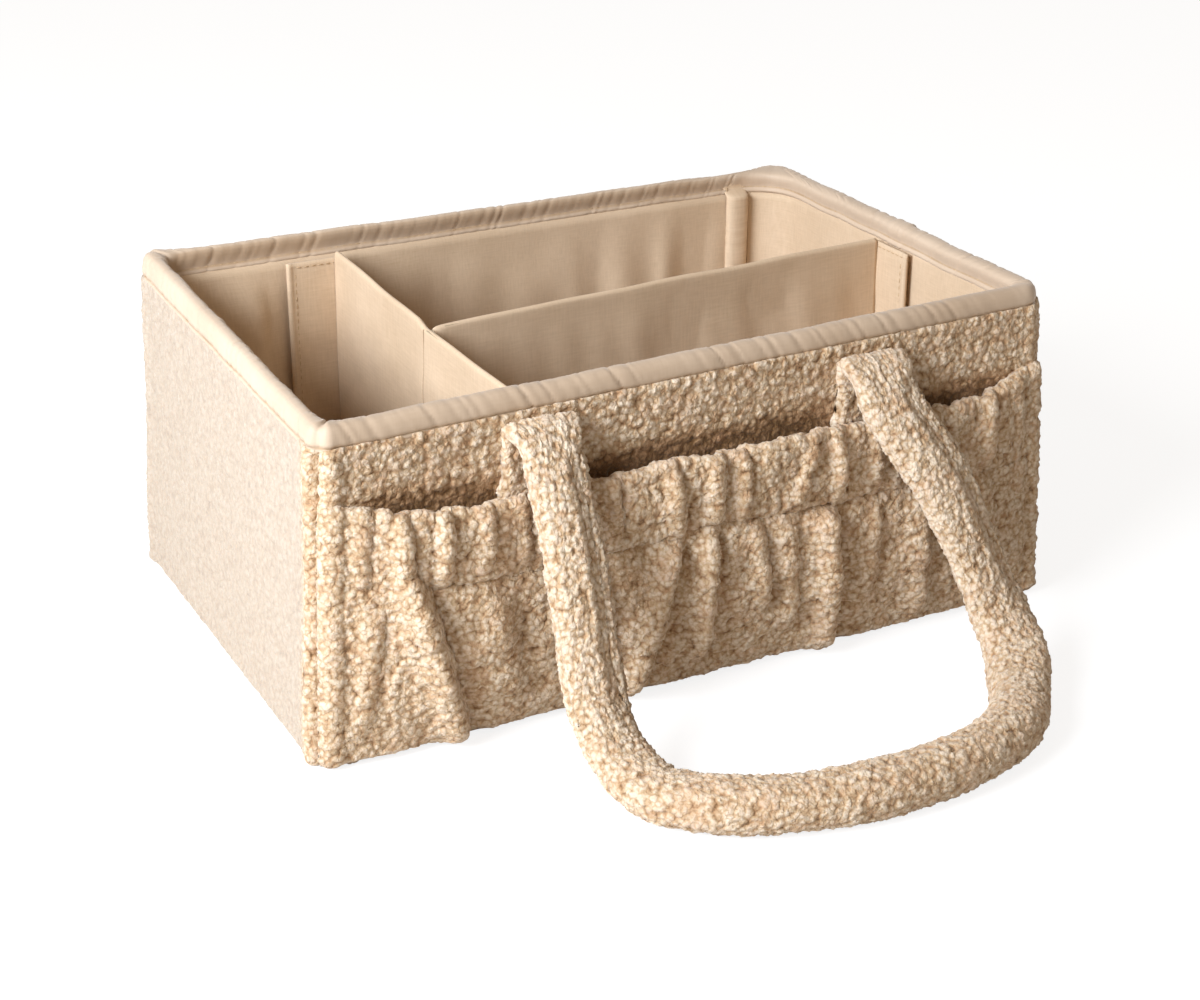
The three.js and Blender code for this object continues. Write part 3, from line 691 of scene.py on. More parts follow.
def buildBinding():
    shape = bindingShape
    lengths = [wallLength(side) for side in wallNames]
    ends, total = np.cumsum([0] + lengths), sum(lengths)
    stretches = [evenly(-length / 2, length / 2, shape["pitch"])[:-1] for length in lengths]
    a = [along + length / 2 + end for along, length, end in zip(stretches, lengths, ends)]
    a = np.concatenate(a)[None, :]
    section = np.array(shape["section"]) * mm
    inset, z = section[:, :1], section[:, 1:]
    loose = between(np.arange(len(section)), shape["loose"])[:, None]
    slanted = a + shape["slant"] * (z - 0.163)
    pillow = creases(slanted, shape["spacing"], 5, total) - 0.7
    small = creases(slanted + 0.003, shape["rippleSpacing"], 6, total) - 0.7
    swell = (shape["pucker"] * pillow + shape["ripple"] * small) * loose
    # The tape is pinched where it turns a corner
    pinch = sum(
        strength * bell(a - end, 0.0016) - 0.5 * strength * bell(np.abs(a - end) - 0.0045, 0.002)
        for end, strength in zip(ends, shape["pinches"])
    )
    swell = swell - shape["pinch"] * pinch * np.minimum(loose + 0.4, 1)
    z = z + 0.0004 * wander(a, 0 * a, 0.05, 8)
    # At the back the tape's top slopes away from the basket
    atBack = smooth(np.minimum(a - ends[2], ends[3] - a), 0, 0.03)
    z = z - shape["backSlope"] * np.maximum(shape["slopeTo"] - inset, 0) * smooth(z, 0.164, 0.169) * atBack
    # Painted shade along the sunk stitches, inside the back rim and over the front
    paintedShade = bindingPaintedShade(a, inset, z, ends)
    # Over the left wall the tape is narrower, and its inner edge wavers
    atLeft = smooth(a - ends[3], 0, 0.02) * smooth(ends[4] - a, 0, 0.02)
    waver = 1 + 0.25 * wander(a, 0 * a, 0.030, 10) + 0.15 * wander(a, 0 * a, 0.009, 7)
    narrower = shape["leftNarrow"] * atLeft * waver * smooth(z, 0.1625, 0.1660)
    inset = inset - narrower * smooth(inset, 0.003, 0.008)
    # The end of the tape is folded over its start
    past = a - (ends[1] + wallLength("right") / 2 + shape["join"])
    overlap = smooth(past, -0.0004, 0.0004) * smooth(shape["overlap"] - past, 0, 0.002)
    overlap = overlap + 0.9 * bell(past, 0.0009)
    swell = swell + shape["thick"] * overlap * loose
    splits = np.cumsum([len(along) for along in stretches])[:-1]
    insets, heights = np.split(inset, splits, axis=1), np.split(z, splits, axis=1)
    parts = [wallPoint(*part) for part in zip(wallNames, stretches, insets, heights)]
    points = slump(np.concatenate(parts, axis=1))
    points, swell, paintedShade = [np.concatenate([line, line[:, :1]], axis=1) for line in (points, swell, paintedShade)]
    points = points + normalsOf(points, True, True) * swell[..., None]
    piece = layCloth("rim_binding_tape", points, (total, 0.040), "binding", {"paintedShade": paintedShade})
    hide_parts("rim_binding")
    return points


rimPoints = buildBinding()
print("rim binding made")


# Stitching: each stitch is a small rounded bead along the seam

stitchSize = {"length": 0.0031, "gap": 0.0010, "width": 0.00028, "sunk": 0.00010}


def sew(name, runs, body="basket"):
    # runs: lists of points, each with the way that the cloth faces there
    bm = bmesh.new()
    pitch, wide = stitchSize["length"] + stitchSize["gap"], stitchSize["width"]
    size = Matrix.Diagonal((stitchSize["length"] / 2, wide, wide, 1))
    for points, facing in runs:
        points = np.asarray(points, float)
        facing = np.broadcast_to(np.asarray(facing, float), points.shape)
        gone = travelled(points)
        for start in np.arange(pitch / 2, gone[-1] - pitch / 2, pitch):
            ends = (start - 0.4 * pitch, start + 0.4 * pitch)
            at = [np.interp(end, gone, points[:, k]) for end in ends for k in range(3)]
            head, tail = Vector(at[:3]), Vector(at[3:])
            out = Vector([np.interp(start, gone, facing[:, k]) for k in range(3)]).normalized()
            way = (tail - head).normalized()
            side = out.cross(way).normalized()
            turn = Matrix((way, side, way.cross(side))).transposed().to_4x4()
            place = Matrix.Translation((head + tail) / 2 - out * stitchSize["sunk"])
            bmesh.ops.create_uvsphere(bm, u_segments=6, v_segments=5, radius=1, matrix=place @ turn @ size)
    return finishPiece(name, bm, bpy.data.meshes.new(name), threadFinish, body)


rimNormals = normalsOf(rimPoints, True, True)
for name, row in zip(("rim_stitching_outside", "rim_stitching_inside"), bindingShape["stitchRows"]):
    sew(name, [(rimPoints[row], rimNormals[row])])


# Linings of the inner walls and the floor

liningShape = {
    "pitch": (0.0018, 0.0025),  # along and up
    "seamPitch": 0.0005,
    "inset": 0.0084,
    "foot": 0.0056,
    "top": 0.1640,
    "thickness": 0.0009,
    "tuck": 0.0016,  # how far it goes back under the binding
    "tuckFrom": (0.1612, 0.1645),
    "wave": {"front": 0.0012, "right": 0.0006, "back": 0.0010, "left": 0.0012},
    "seam": 0.0073,  # how far the right lining goes round the rear corner, to the bound seam
    # middle, half width and height of its large folds, along each wall, and how far down each sets in
    "folds": {
        "back": [
            (0.150, 0.013, 0.0060, 0.03), (-0.022, 0.016, 0.0020, 0.06), (-0.062, 0.010, 0.0016, 0.05),
            (-0.098, 0.014, 0.0028, 0.05), (-0.128, 0.008, 0.0020, 0.05),
        ],
    },
    "tabs": {
        "back": "cross_divider_rear_tab",
        "front": "cross_divider_front_tab",
        "right": "long_divider_tab",
    },
    "flat": 0.0140,  # how soon it lies flat beside a tab of the divider
}


def buildLining(side, seed):
    shape = liningShape
    half, seam = wallLength(side) / 2, shape["seam"]
    along = evenly(-half + seam * (side == "back"), half + seam * (side == "right"), shape["pitch"][0])
    if side == "right":
        corner = evenly(half - 0.001, half + seam, shape["seamPitch"])
        along = np.concatenate([along[along < half - 0.002], corner])
    column = along[None, :]
    face = evenly(shape["foot"], shape["top"], shape["pitch"][1])
    z = np.concatenate([face, [shape["top"], 0.09, shape["foot"]], face[:1]])[:, None]
    front = np.concatenate([np.ones(len(face)), np.zeros(3), [1]])[:, None]
    # Slack cloth hangs in upright waves, and lies flat behind the divider's tabs and under the rim
    wave = wander(column * 1.6, z * 0.35, 0.06, seed) + 0.5 * wander(column, z * 0.8, 0.04, seed + 3)
    wave = np.maximum(wave + 0.6, 0) * smooth(half - np.abs(column), 0.004, 0.03)
    wave = wave * smooth(0.158 - z, -0.002, 0.03)
    depth = shape["wave"][side] * wave
    for middle, wide, high, reach in shape["folds"].get(side, ()):
        depth = depth + high * bell(column - middle, wide) * smooth(0.16 - z, 0, reach)
    if side in shape["tabs"]:
        low, high = sorted((wallTurn(side) @ corner).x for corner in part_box(shape["tabs"][side]))
        depth = depth * smooth(np.maximum(column - high, low - column), 0, shape["flat"])
    z = z + rimLift(wallPoint(side, column, shape["inset"], z))
    # Above the board's edge it goes back under the binding
    lean = basketSize["rearLean"] * (side == "back")
    if side == "right":
        lean = basketSize["rearLean"] * smooth(column, half - 0.03, half)
    tuck = (shape["tuck"] + lean) * smooth(z, *shape["tuckFrom"])
    inset = shape["inset"] - tuck - shape["thickness"] * (1 - front) + depth * front
    points = wallPoint(side, column, inset, z)
    if side == "right":
        rear = wallPoint("back", column - half - wallLength("back") / 2, inset, z)
        points = np.where((column > half)[..., None], rear, points)
    piece = layCloth(f"{side}_wall_lining", points, (2 * half, 0.34), "lining")
    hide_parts(f"{side}_lining")


for number, side in enumerate(wallNames):
    buildLining(side, 101 + 10 * number)


def slabAt(node, name, bevel, finish, body="basket", corners=None):
    # A flat piece where a node is, with its edges rounded, and its upright corners where given
    low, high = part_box(node)
    size, middle = high - low, (high + low) / 2
    bm = bmesh.new()
    bm.loops.layers.uv.new("cloth")
    bmesh.ops.create_cube(bm, size=1, matrix=Matrix.Translation(middle) @ Matrix.Diagonal((*size, 1)))
    if corners:
        upright = [e for e in bm.edges if abs((e.verts[0].co - e.verts[1].co).z) > size.z / 2]
        bmesh.ops.bevel(
            bm, geom=upright, offset=corners, segments=8, profile=0.5, affect="EDGES", material=-1
        )
    sharp = [e for e in bm.edges if e.calc_face_angle(0) > 0.7]
    bmesh.ops.bevel(bm, geom=sharp, offset=bevel, segments=2, profile=0.5, affect="EDGES", material=-1)
    uv = bm.loops.layers.uv["cloth"]
    for face in bm.faces:
        drop = max(range(3), key=lambda k: abs(face.normal[k]))
        for loop in face.loops:
            loop[uv].uv = [loop.vert.co[k] for k in range(3) if k != drop]
    return finishPiece(name, bm, bpy.data.meshes.new(name), finish, body)


def buildFloorLining():
    low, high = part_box("floor_lining")
    x = evenly(low.x, high.x, 0.005)[None, :]
    y = evenly(low.y, high.y, 0.005)
    y = np.concatenate([y, y[::-1], y[:1]])[:, None]
    top = np.arange(len(y))[:, None] < len(y) // 2
    z = np.where(top, high.z + 0.0001 * wander(x, y, 0.06, 301), low.z)
    piece = layCloth("floor_lining_cloth", grid(x, y, z), (high.x - low.x, 2 * (high.y - low.y)), "lining")
    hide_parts("floor_lining")


buildFloorLining()
baseCloth = slabAt("base_cover", "base_cloth", 0.0004, "canvas", corners=0.012)
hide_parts("base_cover")
print("linings and base made")


# The bound seam of the lining, in the rear right corner: a padded roll of tape

seamShape = {
    "top": 0.1640,
    "wide": 0.93,  # share of the node's width and depth that the roll takes
    "deep": 0.98,
    "wrap": 0.0085,  # how far apart its creases lie
    "puff": (0.0004, 0.0005),
    "set": 0.0004,  # how far it is set into the lining
    "tuck": 0.0034,
}


def buildSeamRoll():
    shape = seamShape
    low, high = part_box("lining_seam_binding")
    z = evenly(low.z, shape["top"], 0.0012)[:, None]
    angle = np.linspace(0, 2 * math.pi, 33)[None, :]
    middle = (low.x + high.x) / 2 + 0.0003 * wander(z, 0 * z, 0.06, 401)
    wrap = creases(z + 0.0016 * np.sin(angle), shape["wrap"], 402, 0.4) - 0.6
    half = (high.x - low.x) / 2 * shape["wide"] + shape["puff"][0] * wrap
    deep = (high.y - low.y) * shape["deep"] + shape["puff"][1] * wrap
    deep = deep * (1 - 0.9 * smooth(z, 0.1575, 0.1610))
    x = middle + half * np.sign(np.cos(angle)) * np.abs(np.cos(angle)) ** 0.85
    y = high.y - shape["set"] - deep * np.maximum(np.sin(angle), 0.0) ** 0.8
    points = grid(x, y + shape["tuck"] * smooth(z, 0.157, 0.1605), z)
    points[..., 2] += rimLift(points)
    piece = layCloth("lining_seam_roll", points, (0.03, high.z - low.z), "lining")
    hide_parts("lining_seam_binding")
    edge = points[:, 15] + np.array([0.0012, -0.0007, 0])
    sew("lining_seam_stitching", [(edge, (-0.6, -0.8, 0))])


buildSeamRoll()


# The divider: sleeves over boards, with tabs that fold along the walls

dividerShape = {
    "top": 0.163,
    "foot": 0.0057,
    "half": 0.0029,
    "taper": 0.38,  # how much thinner a panel is at its top
    "least": 0.0016,  # half of its thickness where the board fills it
    "crossX": -0.095,
    "skew": 0.002,
    "endY": 0.1116,
    "seamY": -0.014,
    "pivot": (-0.08915, -0.014),
    "longEnd": (0.1812, 0.002),
    "seam": (0.0010, 0.0005, 0.95),  # depth, width and painted shade of a seam across a panel
    # how high the top of the cross panel stands at a share of its length
    "crossRise": [(0, 0.0004), (0.40, -0.0012), (0.435, -0.0014), (0.48, 0.0008), (1, 0.0026)],
    "hem": (0.0010, 0.0016, 0.0012),  # height, place and width of a tab's doubled hem
    "stitched": (0.0016, 0.0046, 0.0026),  # how far in from a tab's plain edge, its hem and its top
}


def buildSleeve(name, node, start, end, body, seed, rise, seams=(), roundStart=False, wave=0.0007):
    # A cloth sleeve over a board, from start to end in plan, round over its top edge. rise is how
    # far its top stands up at a share of its length.
    start, end = np.array(start), np.array(end)
    span = np.linalg.norm(end - start)
    way = (end - start) / span
    across = np.array([-way[1], way[0]])
    half, top, foot = dividerShape["half"], dividerShape["top"], dividerShape["foot"]
    deep, narrow, dark = dividerShape["seam"]
    along = evenly(0, span, 0.0016)
    for seam in seams:
        close = mm * np.array([0.2, 0.4, 0.7, 1.1])  # the grid is finer beside a seam
        along = np.sort(np.concatenate([along, seam - close, [seam], seam + close]))
    along = along[None, :]
    side = evenly(foot, top - half, 0.0022)
    bend = np.linspace(0, math.pi, 11)[1:-1]
    z = np.concatenate([side, top - half + half * np.sin(bend), side[::-1], side[:1]])[:, None]
    faces = [np.full(len(side), -half), -half * np.cos(bend), np.full(len(side), half), [-half]]
    out = np.concatenate(faces)[:, None]
    face = np.sign(out) * (np.abs(out) > 0.8 * half)
    wavy = wander(along * 1.5, z * 0.4, 0.07, seed) + 0.4 * wander(along, z, 0.03, seed + 1)
    calm = smooth(top - z, 0, 0.03) * smooth(along, 0, 0.02) * smooth(span - along, 0, 0.02)
    sunk = sum(bell(along - seam, narrow) for seam in seams)
    out = out * (1 - dividerShape["taper"] * smooth(z, 0.1, top))
    moved = out + (wave * wavy * calm - face * deep * sunk)
    held = np.sign(out) * np.maximum(np.abs(moved), dividerShape["least"])
    out = np.where(np.abs(face) > 0, held, moved)
    lift = 0.0004 * wander(along, 0 * along, 0.06, seed + 2) + rise(along / span)
    z = z + lift * smooth(z, 0.12, top - half)
    if roundStart:
        shrink = np.sqrt(np.clip(1 - (1 - np.clip(along / (2 * half), 0, 1)) ** 2, 0.02, 1))
        out = out * shrink
        z = z - (1 - shrink) * 0.0012 * (z > 0.15)
    plan = start + along[..., None] * way + out[..., None] * across
    points = grid(plan[..., 0], plan[..., 1], z)
    # The seams across it get painted shade down their groove
    piece = layCloth(name, points, (span, 0.33), "lining", {"paintedShade": dark * sunk * np.abs(face)}, body)
    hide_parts(node)


def buildTab(name, node, side, body, hem):
    # A tab that lies along a wall, hemmed on its low or its high side
    turn = wallTurn(side)
    low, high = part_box(node)
    high.z -= 0.0010
    a, b = turn @ low, turn @ high  # as if on the front wall
    (x0, x1), (outer, inner) = sorted((a.x, b.x)), sorted((a.y, b.y))
    x = evenly(x0, x1, 0.0014)[None, :]
    z = evenly(low.z, high.z, 0.0022)
    rows = np.concatenate([z, z[::-1], z[:1]])[:, None]
    onFace = np.concatenate([np.ones(len(z)), np.zeros(len(z)), [1]])[:, None]
    edge = np.minimum(np.minimum(x - x0, x1 - x), np.minimum(rows - low.z, high.z - rows) + 0.0006)
    lift = 0.00035 * smooth(edge, 0, 0.0016) - 0.0004 * bell(edge - 0.0024, 0.0008)
    lift = lift + 0.00035 * wander(x, rows, 0.03, 500 + wallNames.index(side))
    fromHem = x - x0 if hem == "low" else x1 - x
    thick, middle, wide = dividerShape["hem"]
    lift = lift + thick * bell(fromHem - middle, wide) * smooth(edge, -0.001, 0.001)
    back = np.array(turn.inverted())
    points = grid(x, np.where(onFace > 0, inner + lift - 0.0003, outer), rows) @ back.T
    piece = layCloth(name, points, (x1 - x0, 0.32), "lining", body=body)
    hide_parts(node)
    plain, hemmed, below = dividerShape["stitched"]
    lines = [x0 + (hemmed if hem == "low" else plain), x1 - (hemmed if hem == "high" else plain)]
    face, top = inner + 0.0001, high.z - below
    runs = [[(line, face, low.z + 0.003), (line, face, high.z - 0.0024)] for line in lines]
    runs.append([(x0 + 0.0024, face, top), (x1 - 0.0024, face, top)])
    sew(name + "_stitching", [(np.array(run) @ back.T, back @ np.array((0, 1, 0))) for run in runs], body)


def crossPoint(y):
    # A point of the cross panel's middle line, which runs a little askew
    return dividerShape["crossX"] + dividerShape["skew"] * y / dividerShape["endY"], y


def buildDivider():
    endY, seamY = dividerShape["endY"], dividerShape["seamY"]
    buildSleeve(
        "cross_divider_sleeve", "cross_divider_cover", crossPoint(-endY), crossPoint(endY), "divider", 511,
        lambda share: between(share, dividerShape["crossRise"]), seams=(endY + seamY,),
    )
    pivot, longEnd = np.array(dividerShape["pivot"]), np.array(dividerShape["longEnd"])
    way = (longEnd - pivot) / np.linalg.norm(longEnd - pivot)
    buildSleeve(
        "long_divider_sleeve", "long_divider_cover", pivot - way * dividerShape["half"], longEnd,
        "divider_flap", 521, lambda share: -0.0010 * np.exp(-share / 0.2) + 0.0006 * share,
        roundStart=True, wave=0.0015,
    )
    buildTab("rear_tab_cloth", "cross_divider_rear_tab", "back", "divider", "high")
    buildTab("front_tab_cloth", "cross_divider_front_tab", "front", "divider", "low")
    buildTab("long_tab_cloth", "long_divider_tab", "right", "divider_flap", "low")
    strips = {
        "cross_divider_rear_hook_strip": ("rear_hook_tape", "hook_tape", "divider"),
        "cross_divider_front_hook_strip": ("front_hook_tape", "hook_tape", "divider"),
        "long_divider_hook_strip": ("long_hook_tape", "hook_tape", "divider_flap"),
        "back_loop_strip": ("rear_loop_tape", "loop_tape", "basket"),
        "front_loop_strip": ("front_loop_tape", "loop_tape", "basket"),
        "right_loop_strip": ("right_loop_tape", "loop_tape", "basket"),
    }
    for node, (name, finish, body) in strips.items():
        tape = slabAt(node, name, 0.0003, finish, body)
        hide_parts(node)


buildDivider()
print("divider made")


# The elasticated pockets

def foldHeight(along, z, folds):
    # Rounded ridges that are steep on their right and have a hollow behind
    total = 0
    for x0, z0, x1, z1, high, wide in np.array(folds) * mm:
        off = along - (x1 + (x0 - x1) * np.clip((z - z1) / (z0 - z1), 0, 1))
        cross = np.where(off < 0, bell(off, 0.62 * wide), bell(off, 0.30 * wide))
        hollow = 0.5 * bell(off - 0.75 * wide, 0.45 * wide)
        ends = smooth(z, z1 - 0.004, z1 + 0.010) * smooth(-z, -z0 - 0.004, -z0 + 0.008)
        total = total + high * (cross - hollow) * ends
    return total


def buildPocket(side, seed, folds):
    shape = pocketShape
    half, foot, lip = wallLength(side) / 2, shape["foot"], shape["headerThickness"] / 2
    along = evenly(-half, half, shape["pitch"])[None, :]
    mouth, stitch, header = [between(along, shape[name], mm) for name in ("mouth", "stitch", "belly")]
    toEnd = half - np.abs(along)
    closing = smooth(toEnd, 0.006, 0.05)

    def outerAt(z):
        # How far the pocket's face stands off the wall
        share = np.clip((z - foot) / (stitch - foot), 0, 1)
        low = shape["footOut"] + (header - shape["footOut"]) * np.sin(share * math.pi / 2) ** 0.75
        low = low + shape["bulge"] * closing * np.sin(share * math.pi) ** 1.2
        up = np.clip((z - stitch) / (mouth - stitch), 0, 1)
        low = low + shape["puff"] * np.sin(up * math.pi) * closing
        sunk = 0.35 + 0.65 * smooth(wander(along, 0 * along, 0.05, seed + 9), -0.5, 0.4)
        low = low - shape["groove"] * closing * sunk * bell(z - stitch, shape["grooveWidth"])
        low = low + foldHeight(along, z, folds) * smooth(toEnd, 0.006, 0.024) * shape["foldShare"]
        low = low + shape["sag"] * wander(along, z, 0.028, seed + 5) * closing
        return np.maximum(low + besideSeam(side, along), shape["leastOut"])

    # Its section: up the face, over the mouth, down inside it and down the back of the cloth
    rowsLow = np.linspace(0, 1, int(0.088 / shape["pitch"]))[:, None]
    rowsHigh = np.linspace(0, 1, int(0.043 / shape["pitch"]))[1:, None]
    zLow = foot + 0.0012 + (stitch - foot - 0.0012) * rowsLow
    zFace = np.concatenate([zLow, stitch + (mouth - lip - stitch) * rowsHigh])
    face = outerAt(zFace)
    crown = face[-1:]
    thick = np.minimum(shape["headerThickness"], crown - 0.0006)
    bend = np.linspace(0, math.pi, 10)[1:-1, None]
    zLip = mouth - lip + lip * np.sin(bend)
    outLip = crown - thick / 2 * (1 - np.cos(bend))
    fine, coarse = np.linspace(0, 0.014, 15), [0.019, 0.026, 0.034]
    zIn = mouth - lip - np.concatenate([fine, coarse])[:, None]
    zBack = stitch - 0.002 - (stitch - foot - 0.004) * np.linspace(0, 1, 6)[:, None]
    outBack = np.maximum(outerAt(zBack) - shape["thickness"], 0.0004)
    ones = np.ones_like(along)
    z = np.concatenate([foot * ones, zFace, zLip, zIn, zBack, foot * ones])
    out = np.concatenate([0.0010 * ones, face, outLip, crown - thick + 0 * zIn, outBack, 0.0010 * ones])
    piled = len(zFace) + len(zLip) + len(fine)
    weight = np.repeat([0.0, 1.0, 0.0], [1, piled, len(z) - 1 - piled])[:, None]
    weight[1:5, 0] = [0.2, 0.5, 0.8, 0.95]
    points = slump(wallPoint(side, along, -out, z))
    ways = [np.linalg.norm(np.diff(points, axis=axis), axis=2).mean(axis=1 - axis) for axis in (0, 1)]
    b, a = [np.concatenate([[0], np.cumsum(way)]) for way in ways]
    a, b = np.broadcast_arrays(a[None, :], b[:, None])
    height, curl, tint = pile(a, b, seed)
    points = points + normalsOf(points, rowsMeet=True) * (height * weight)[..., None]
    # painted shade along the pocket's stitched line
    layers = {"curl": curl * (1 - 0.12 * bell(z - stitch, 0.0018)), "tint": tint}
    piece = layCloth(f"{side}_pocket_fleece", points, (2 * half, 0.3), "fleece", layers)
    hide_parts(f"{side}_pocket")


elasticShape = {
    "low": 0.095,
    "high": 0.110,
    "thickness": 0.0008,
    "leastOut": 0.0016,
    "ribs": 0.0011,
    "ribHeight": 0.0001,
}


def buildElastic(side):
    shape = elasticShape
    low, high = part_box(f"{side}_pocket_elastic")
    end = (high.x - low.x) / 2
    along = evenly(-end, end, 0.002)[None, :]
    header = between(along, pocketShape["belly"], mm) - pocketShape["headerThickness"]
    z = np.array([shape["low"]] * 2 + [shape["high"]] * 2 + [shape["low"]])[:, None]
    out = np.maximum(header, shape["leastOut"]) + shape["thickness"] * np.array([0, 1, 1, 0, 0])[:, None]
    out = out + shape["ribHeight"] * np.sin(along / shape["ribs"])
    sign = 1 if side == "front" else -1
    points = grid(sign * along, -sign * (basketSize["depth"] / 2 + out), z)
    piece = layCloth(f"{side}_pocket_elastic_tape", points, (2 * end, 0.062), "elastic")
    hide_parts(f"{side}_pocket_elastic")


gathers = pocketShape["gathers"]
mirrored = [(-x0 - 3, z0, -x1 + 2, z1, high * 0.9, wide * 1.05) for x0, z0, x1, z1, high, wide in gathers]
buildPocket("front", 601, gathers)
buildPocket("back", 621, mirrored)
buildElastic("front")
buildElastic("back")
print("pockets made")


# The handles

handleShape = {
    "width": 0.180,
    "length": 0.62,  # roughly, for the number of rows
    "hinge": (-0.1328, 0.146),
    "floor": 0.0133,
    "reach": 0.143,
    "pitch": 0.0008,
    "round": 0.094,  # the way round its section that the pile is laid on
    "top": 0.0395,  # width of the strap where it folds over
    "narrow": (0.0285, 0.0325),  # of the left and the right strap below that
    "grip": 0.0255,
    "thick": (0.0086, 0.0145, 0.0238),  # at the sewn end, down the strap and at the grip
    # shares of its length, from the nearer end, between which the padding fills it, the strap
    # narrows, the band turns level and the grip swells
    "padFrom": (0.03, 0.13),
    "narrowFrom": (0.055, 0.078),
    "levelFrom": (0.12, 0.34),
    "gripFrom": (0.22, 0.42),
    # depth, place and width of the crease down each strap, and how steeply it falls off beside it
    "crease": (0.0016, 0.0040, 0.0020),
    "falls": 0.75,
    "pile": 0.0036,
    "pileSize": 0.85,
    "padding": 0.0026,  # how much smaller the wadding is
    "bare": 9,  # rows of the wadding left out at each end, so that it ends short of the fold
    # share of the reach, share of the height, drift of the left and of the right strap
    "drape": [
        (-0.036, 0.74, 0, 0), (-0.034, 0.93, 0, 0), (-0.016, 1.025, 0, 0), (0.02, 1.01, 0, 0),
        (0.065, 0.955, 0, 0.004), (0.108, 0.892, 0, 0.016), (0.158, 0.79, 0, 0.052), (0.212, 0.665, 0, 0.103),
        (0.266, 0.505, 0, 0.155), (0.33, 0.325, -0.005, 0.195), (0.415, 0.165, -0.01, 0.222),
        (0.54, 0.05, -0.005, 0.21), (0.705, 0, 0.022, 0.128), (0.83, 0, 0.1, 0.05), (0.925, 0, 0.222, -0.045),
        (1, 0, 0.428, -0.25),
    ],
}


def throughPoints(points, count):
    # A smooth centripetal curve through points, as count points an even way apart
    points = np.asarray(points, float)
    ends = [2 * points[0] - points[1], *points, 2 * points[-1] - points[-2]]
    dense = []
    for p0, p1, p2, p3 in zip(ends, ends[1:], ends[2:], ends[3:]):
        t0, t1 = 0.0, np.linalg.norm(p1 - p0) ** 0.5
        t2 = t1 + np.linalg.norm(p2 - p1) ** 0.5
        t3 = t2 + np.linalg.norm(p3 - p2) ** 0.5
        t = np.linspace(t1, t2, 40, endpoint=False)[:, None]
        a1 = (t1 - t) / (t1 - t0) * p0 + (t - t0) / (t1 - t0) * p1
        a2 = (t2 - t) / (t2 - t1) * p1 + (t - t1) / (t2 - t1) * p2
        a3 = (t3 - t) / (t3 - t2) * p2 + (t - t2) / (t3 - t2) * p3
        b1 = (t2 - t) / (t2 - t0) * a1 + (t - t0) / (t2 - t0) * a2
        b2 = (t3 - t) / (t3 - t1) * a2 + (t - t1) / (t3 - t1) * a3
        dense.append((t2 - t) / (t2 - t1) * b1 + (t - t1) / (t2 - t1) * b2)
    dense = np.concatenate([*dense, points[-1:]])
    gone = travelled(dense)
    at = np.linspace(0, gone[-1], count)
    return np.stack([np.interp(at, gone, dense[:, k]) for k in range(3)], axis=1), gone[-1]


def handleCentre(count):
    # The middle line of a handle, from its left sewn end round the grip to its right one
    hingeY, hingeZ = handleShape["hinge"]
    width, reach, floorZ = handleShape["width"], handleShape["reach"], handleShape["floor"]
    left, right = [
        [
            (width * (end + row[drift]), hingeY - row[0] * reach, floorZ + row[1] * (hingeZ - floorZ))
            for row in handleShape["drape"]
        ]
        for end, drift in ((-0.5, 2), (0.5, 3))
    ]
    return throughPoints(left + right[::-1], count)


def unit(vectors):
    return vectors / np.linalg.norm(vectors, axis=1, keepdims=True)


def boxy(value, power):
    # Bends a sine or cosine so that a circle turns into a rounded rectangle
    return np.sign(value) * np.abs(value) ** power


def handleSurface(centre, total, rounds, shrink, seed=None):
    # The band's surface, shrunk all round: a flat strap that swells into a round grip
    shape = handleShape
    share = np.linspace(0, 1, len(centre))
    fromEnd = 0.5 - np.abs(share - 0.5)
    along = unit(np.gradient(centre, axis=0))
    onFloor = smooth(fromEnd, *shape["levelFrom"])[:, None]
    wallWay = np.sign(0.5 - share - 1e-9)[:, None] * np.array([[1.0, 0, 0]])
    across = wallWay * (1 - onFloor) + unit(np.cross([0, 0, 1.0], along)) * onFloor
    across = unit(across - along * np.sum(across * along, axis=1, keepdims=True))
    outward = np.cross(along, across)
    grip = smooth(fromEnd, *shape["gripFrom"])
    narrow = np.where(share < 0.5, *shape["narrow"])
    strap = shape["top"] + (narrow - shape["top"]) * smooth(fromEnd, *shape["narrowFrom"])
    wide = strap * (1 - grip) + shape["grip"] * grip - shrink
    sewn, padded, swollen = shape["thick"]
    filled = smooth(fromEnd, *shape["padFrom"])
    thick = (sewn + (padded - sewn) * filled) * (1 - grip) + swollen * grip - shrink
    square = 0.40 + 0.22 * smooth(fromEnd, 0.06, 0.12) + 0.30 * grip
    # Angles that lie an even way apart round the section
    turns = np.linspace(0, 2 * math.pi, 361)
    angle = np.empty((len(centre), rounds))
    for row, power in enumerate(square):
        c, s = boxy(np.cos(turns), power) * wide[row] / 2, boxy(np.sin(turns), power) * thick[row] / 2
        gone = travelled(np.stack([c, s], axis=1))
        angle[row] = np.interp(np.linspace(0, gone[-1], rounds), gone, turns)
    angle[:, -1] = angle[:, 0]
    c, s = np.cos(angle), np.sin(angle)
    w = boxy(c, square[:, None]) * wide[:, None] / 2
    t = boxy(s, square[:, None]) * thick[:, None] / 2
    # A lengthwise crease down each strap, to the right of its middle
    creased = (smooth(fromEnd, 0.07, 0.10) * smooth(-fromEnd, -0.30, -0.22))[:, None]
    toRight = w * np.where(share < 0.5, 1, -1)[:, None]
    deep, middle, spread = shape["crease"]
    fold = deep * bell(toRight - middle, spread)
    fold = fold + shape["falls"] * np.maximum(toRight - 0.0030, 0) + 0.10 * np.maximum(0.002 - toRight, 0)
    t = t - np.sign(t) * np.minimum(fold * creased * (s > 0.2), 0.75 * np.abs(t))
    if seed:
        lumps = 1 + 0.035 * wander(share[:, None] * total + 0.006 * c, 0.006 * s, 0.05, seed + 3)
        w, t = w * lumps, t * lumps
    return centre[:, None] + across[:, None] * w[..., None] + outward[:, None] * t[..., None], share, s


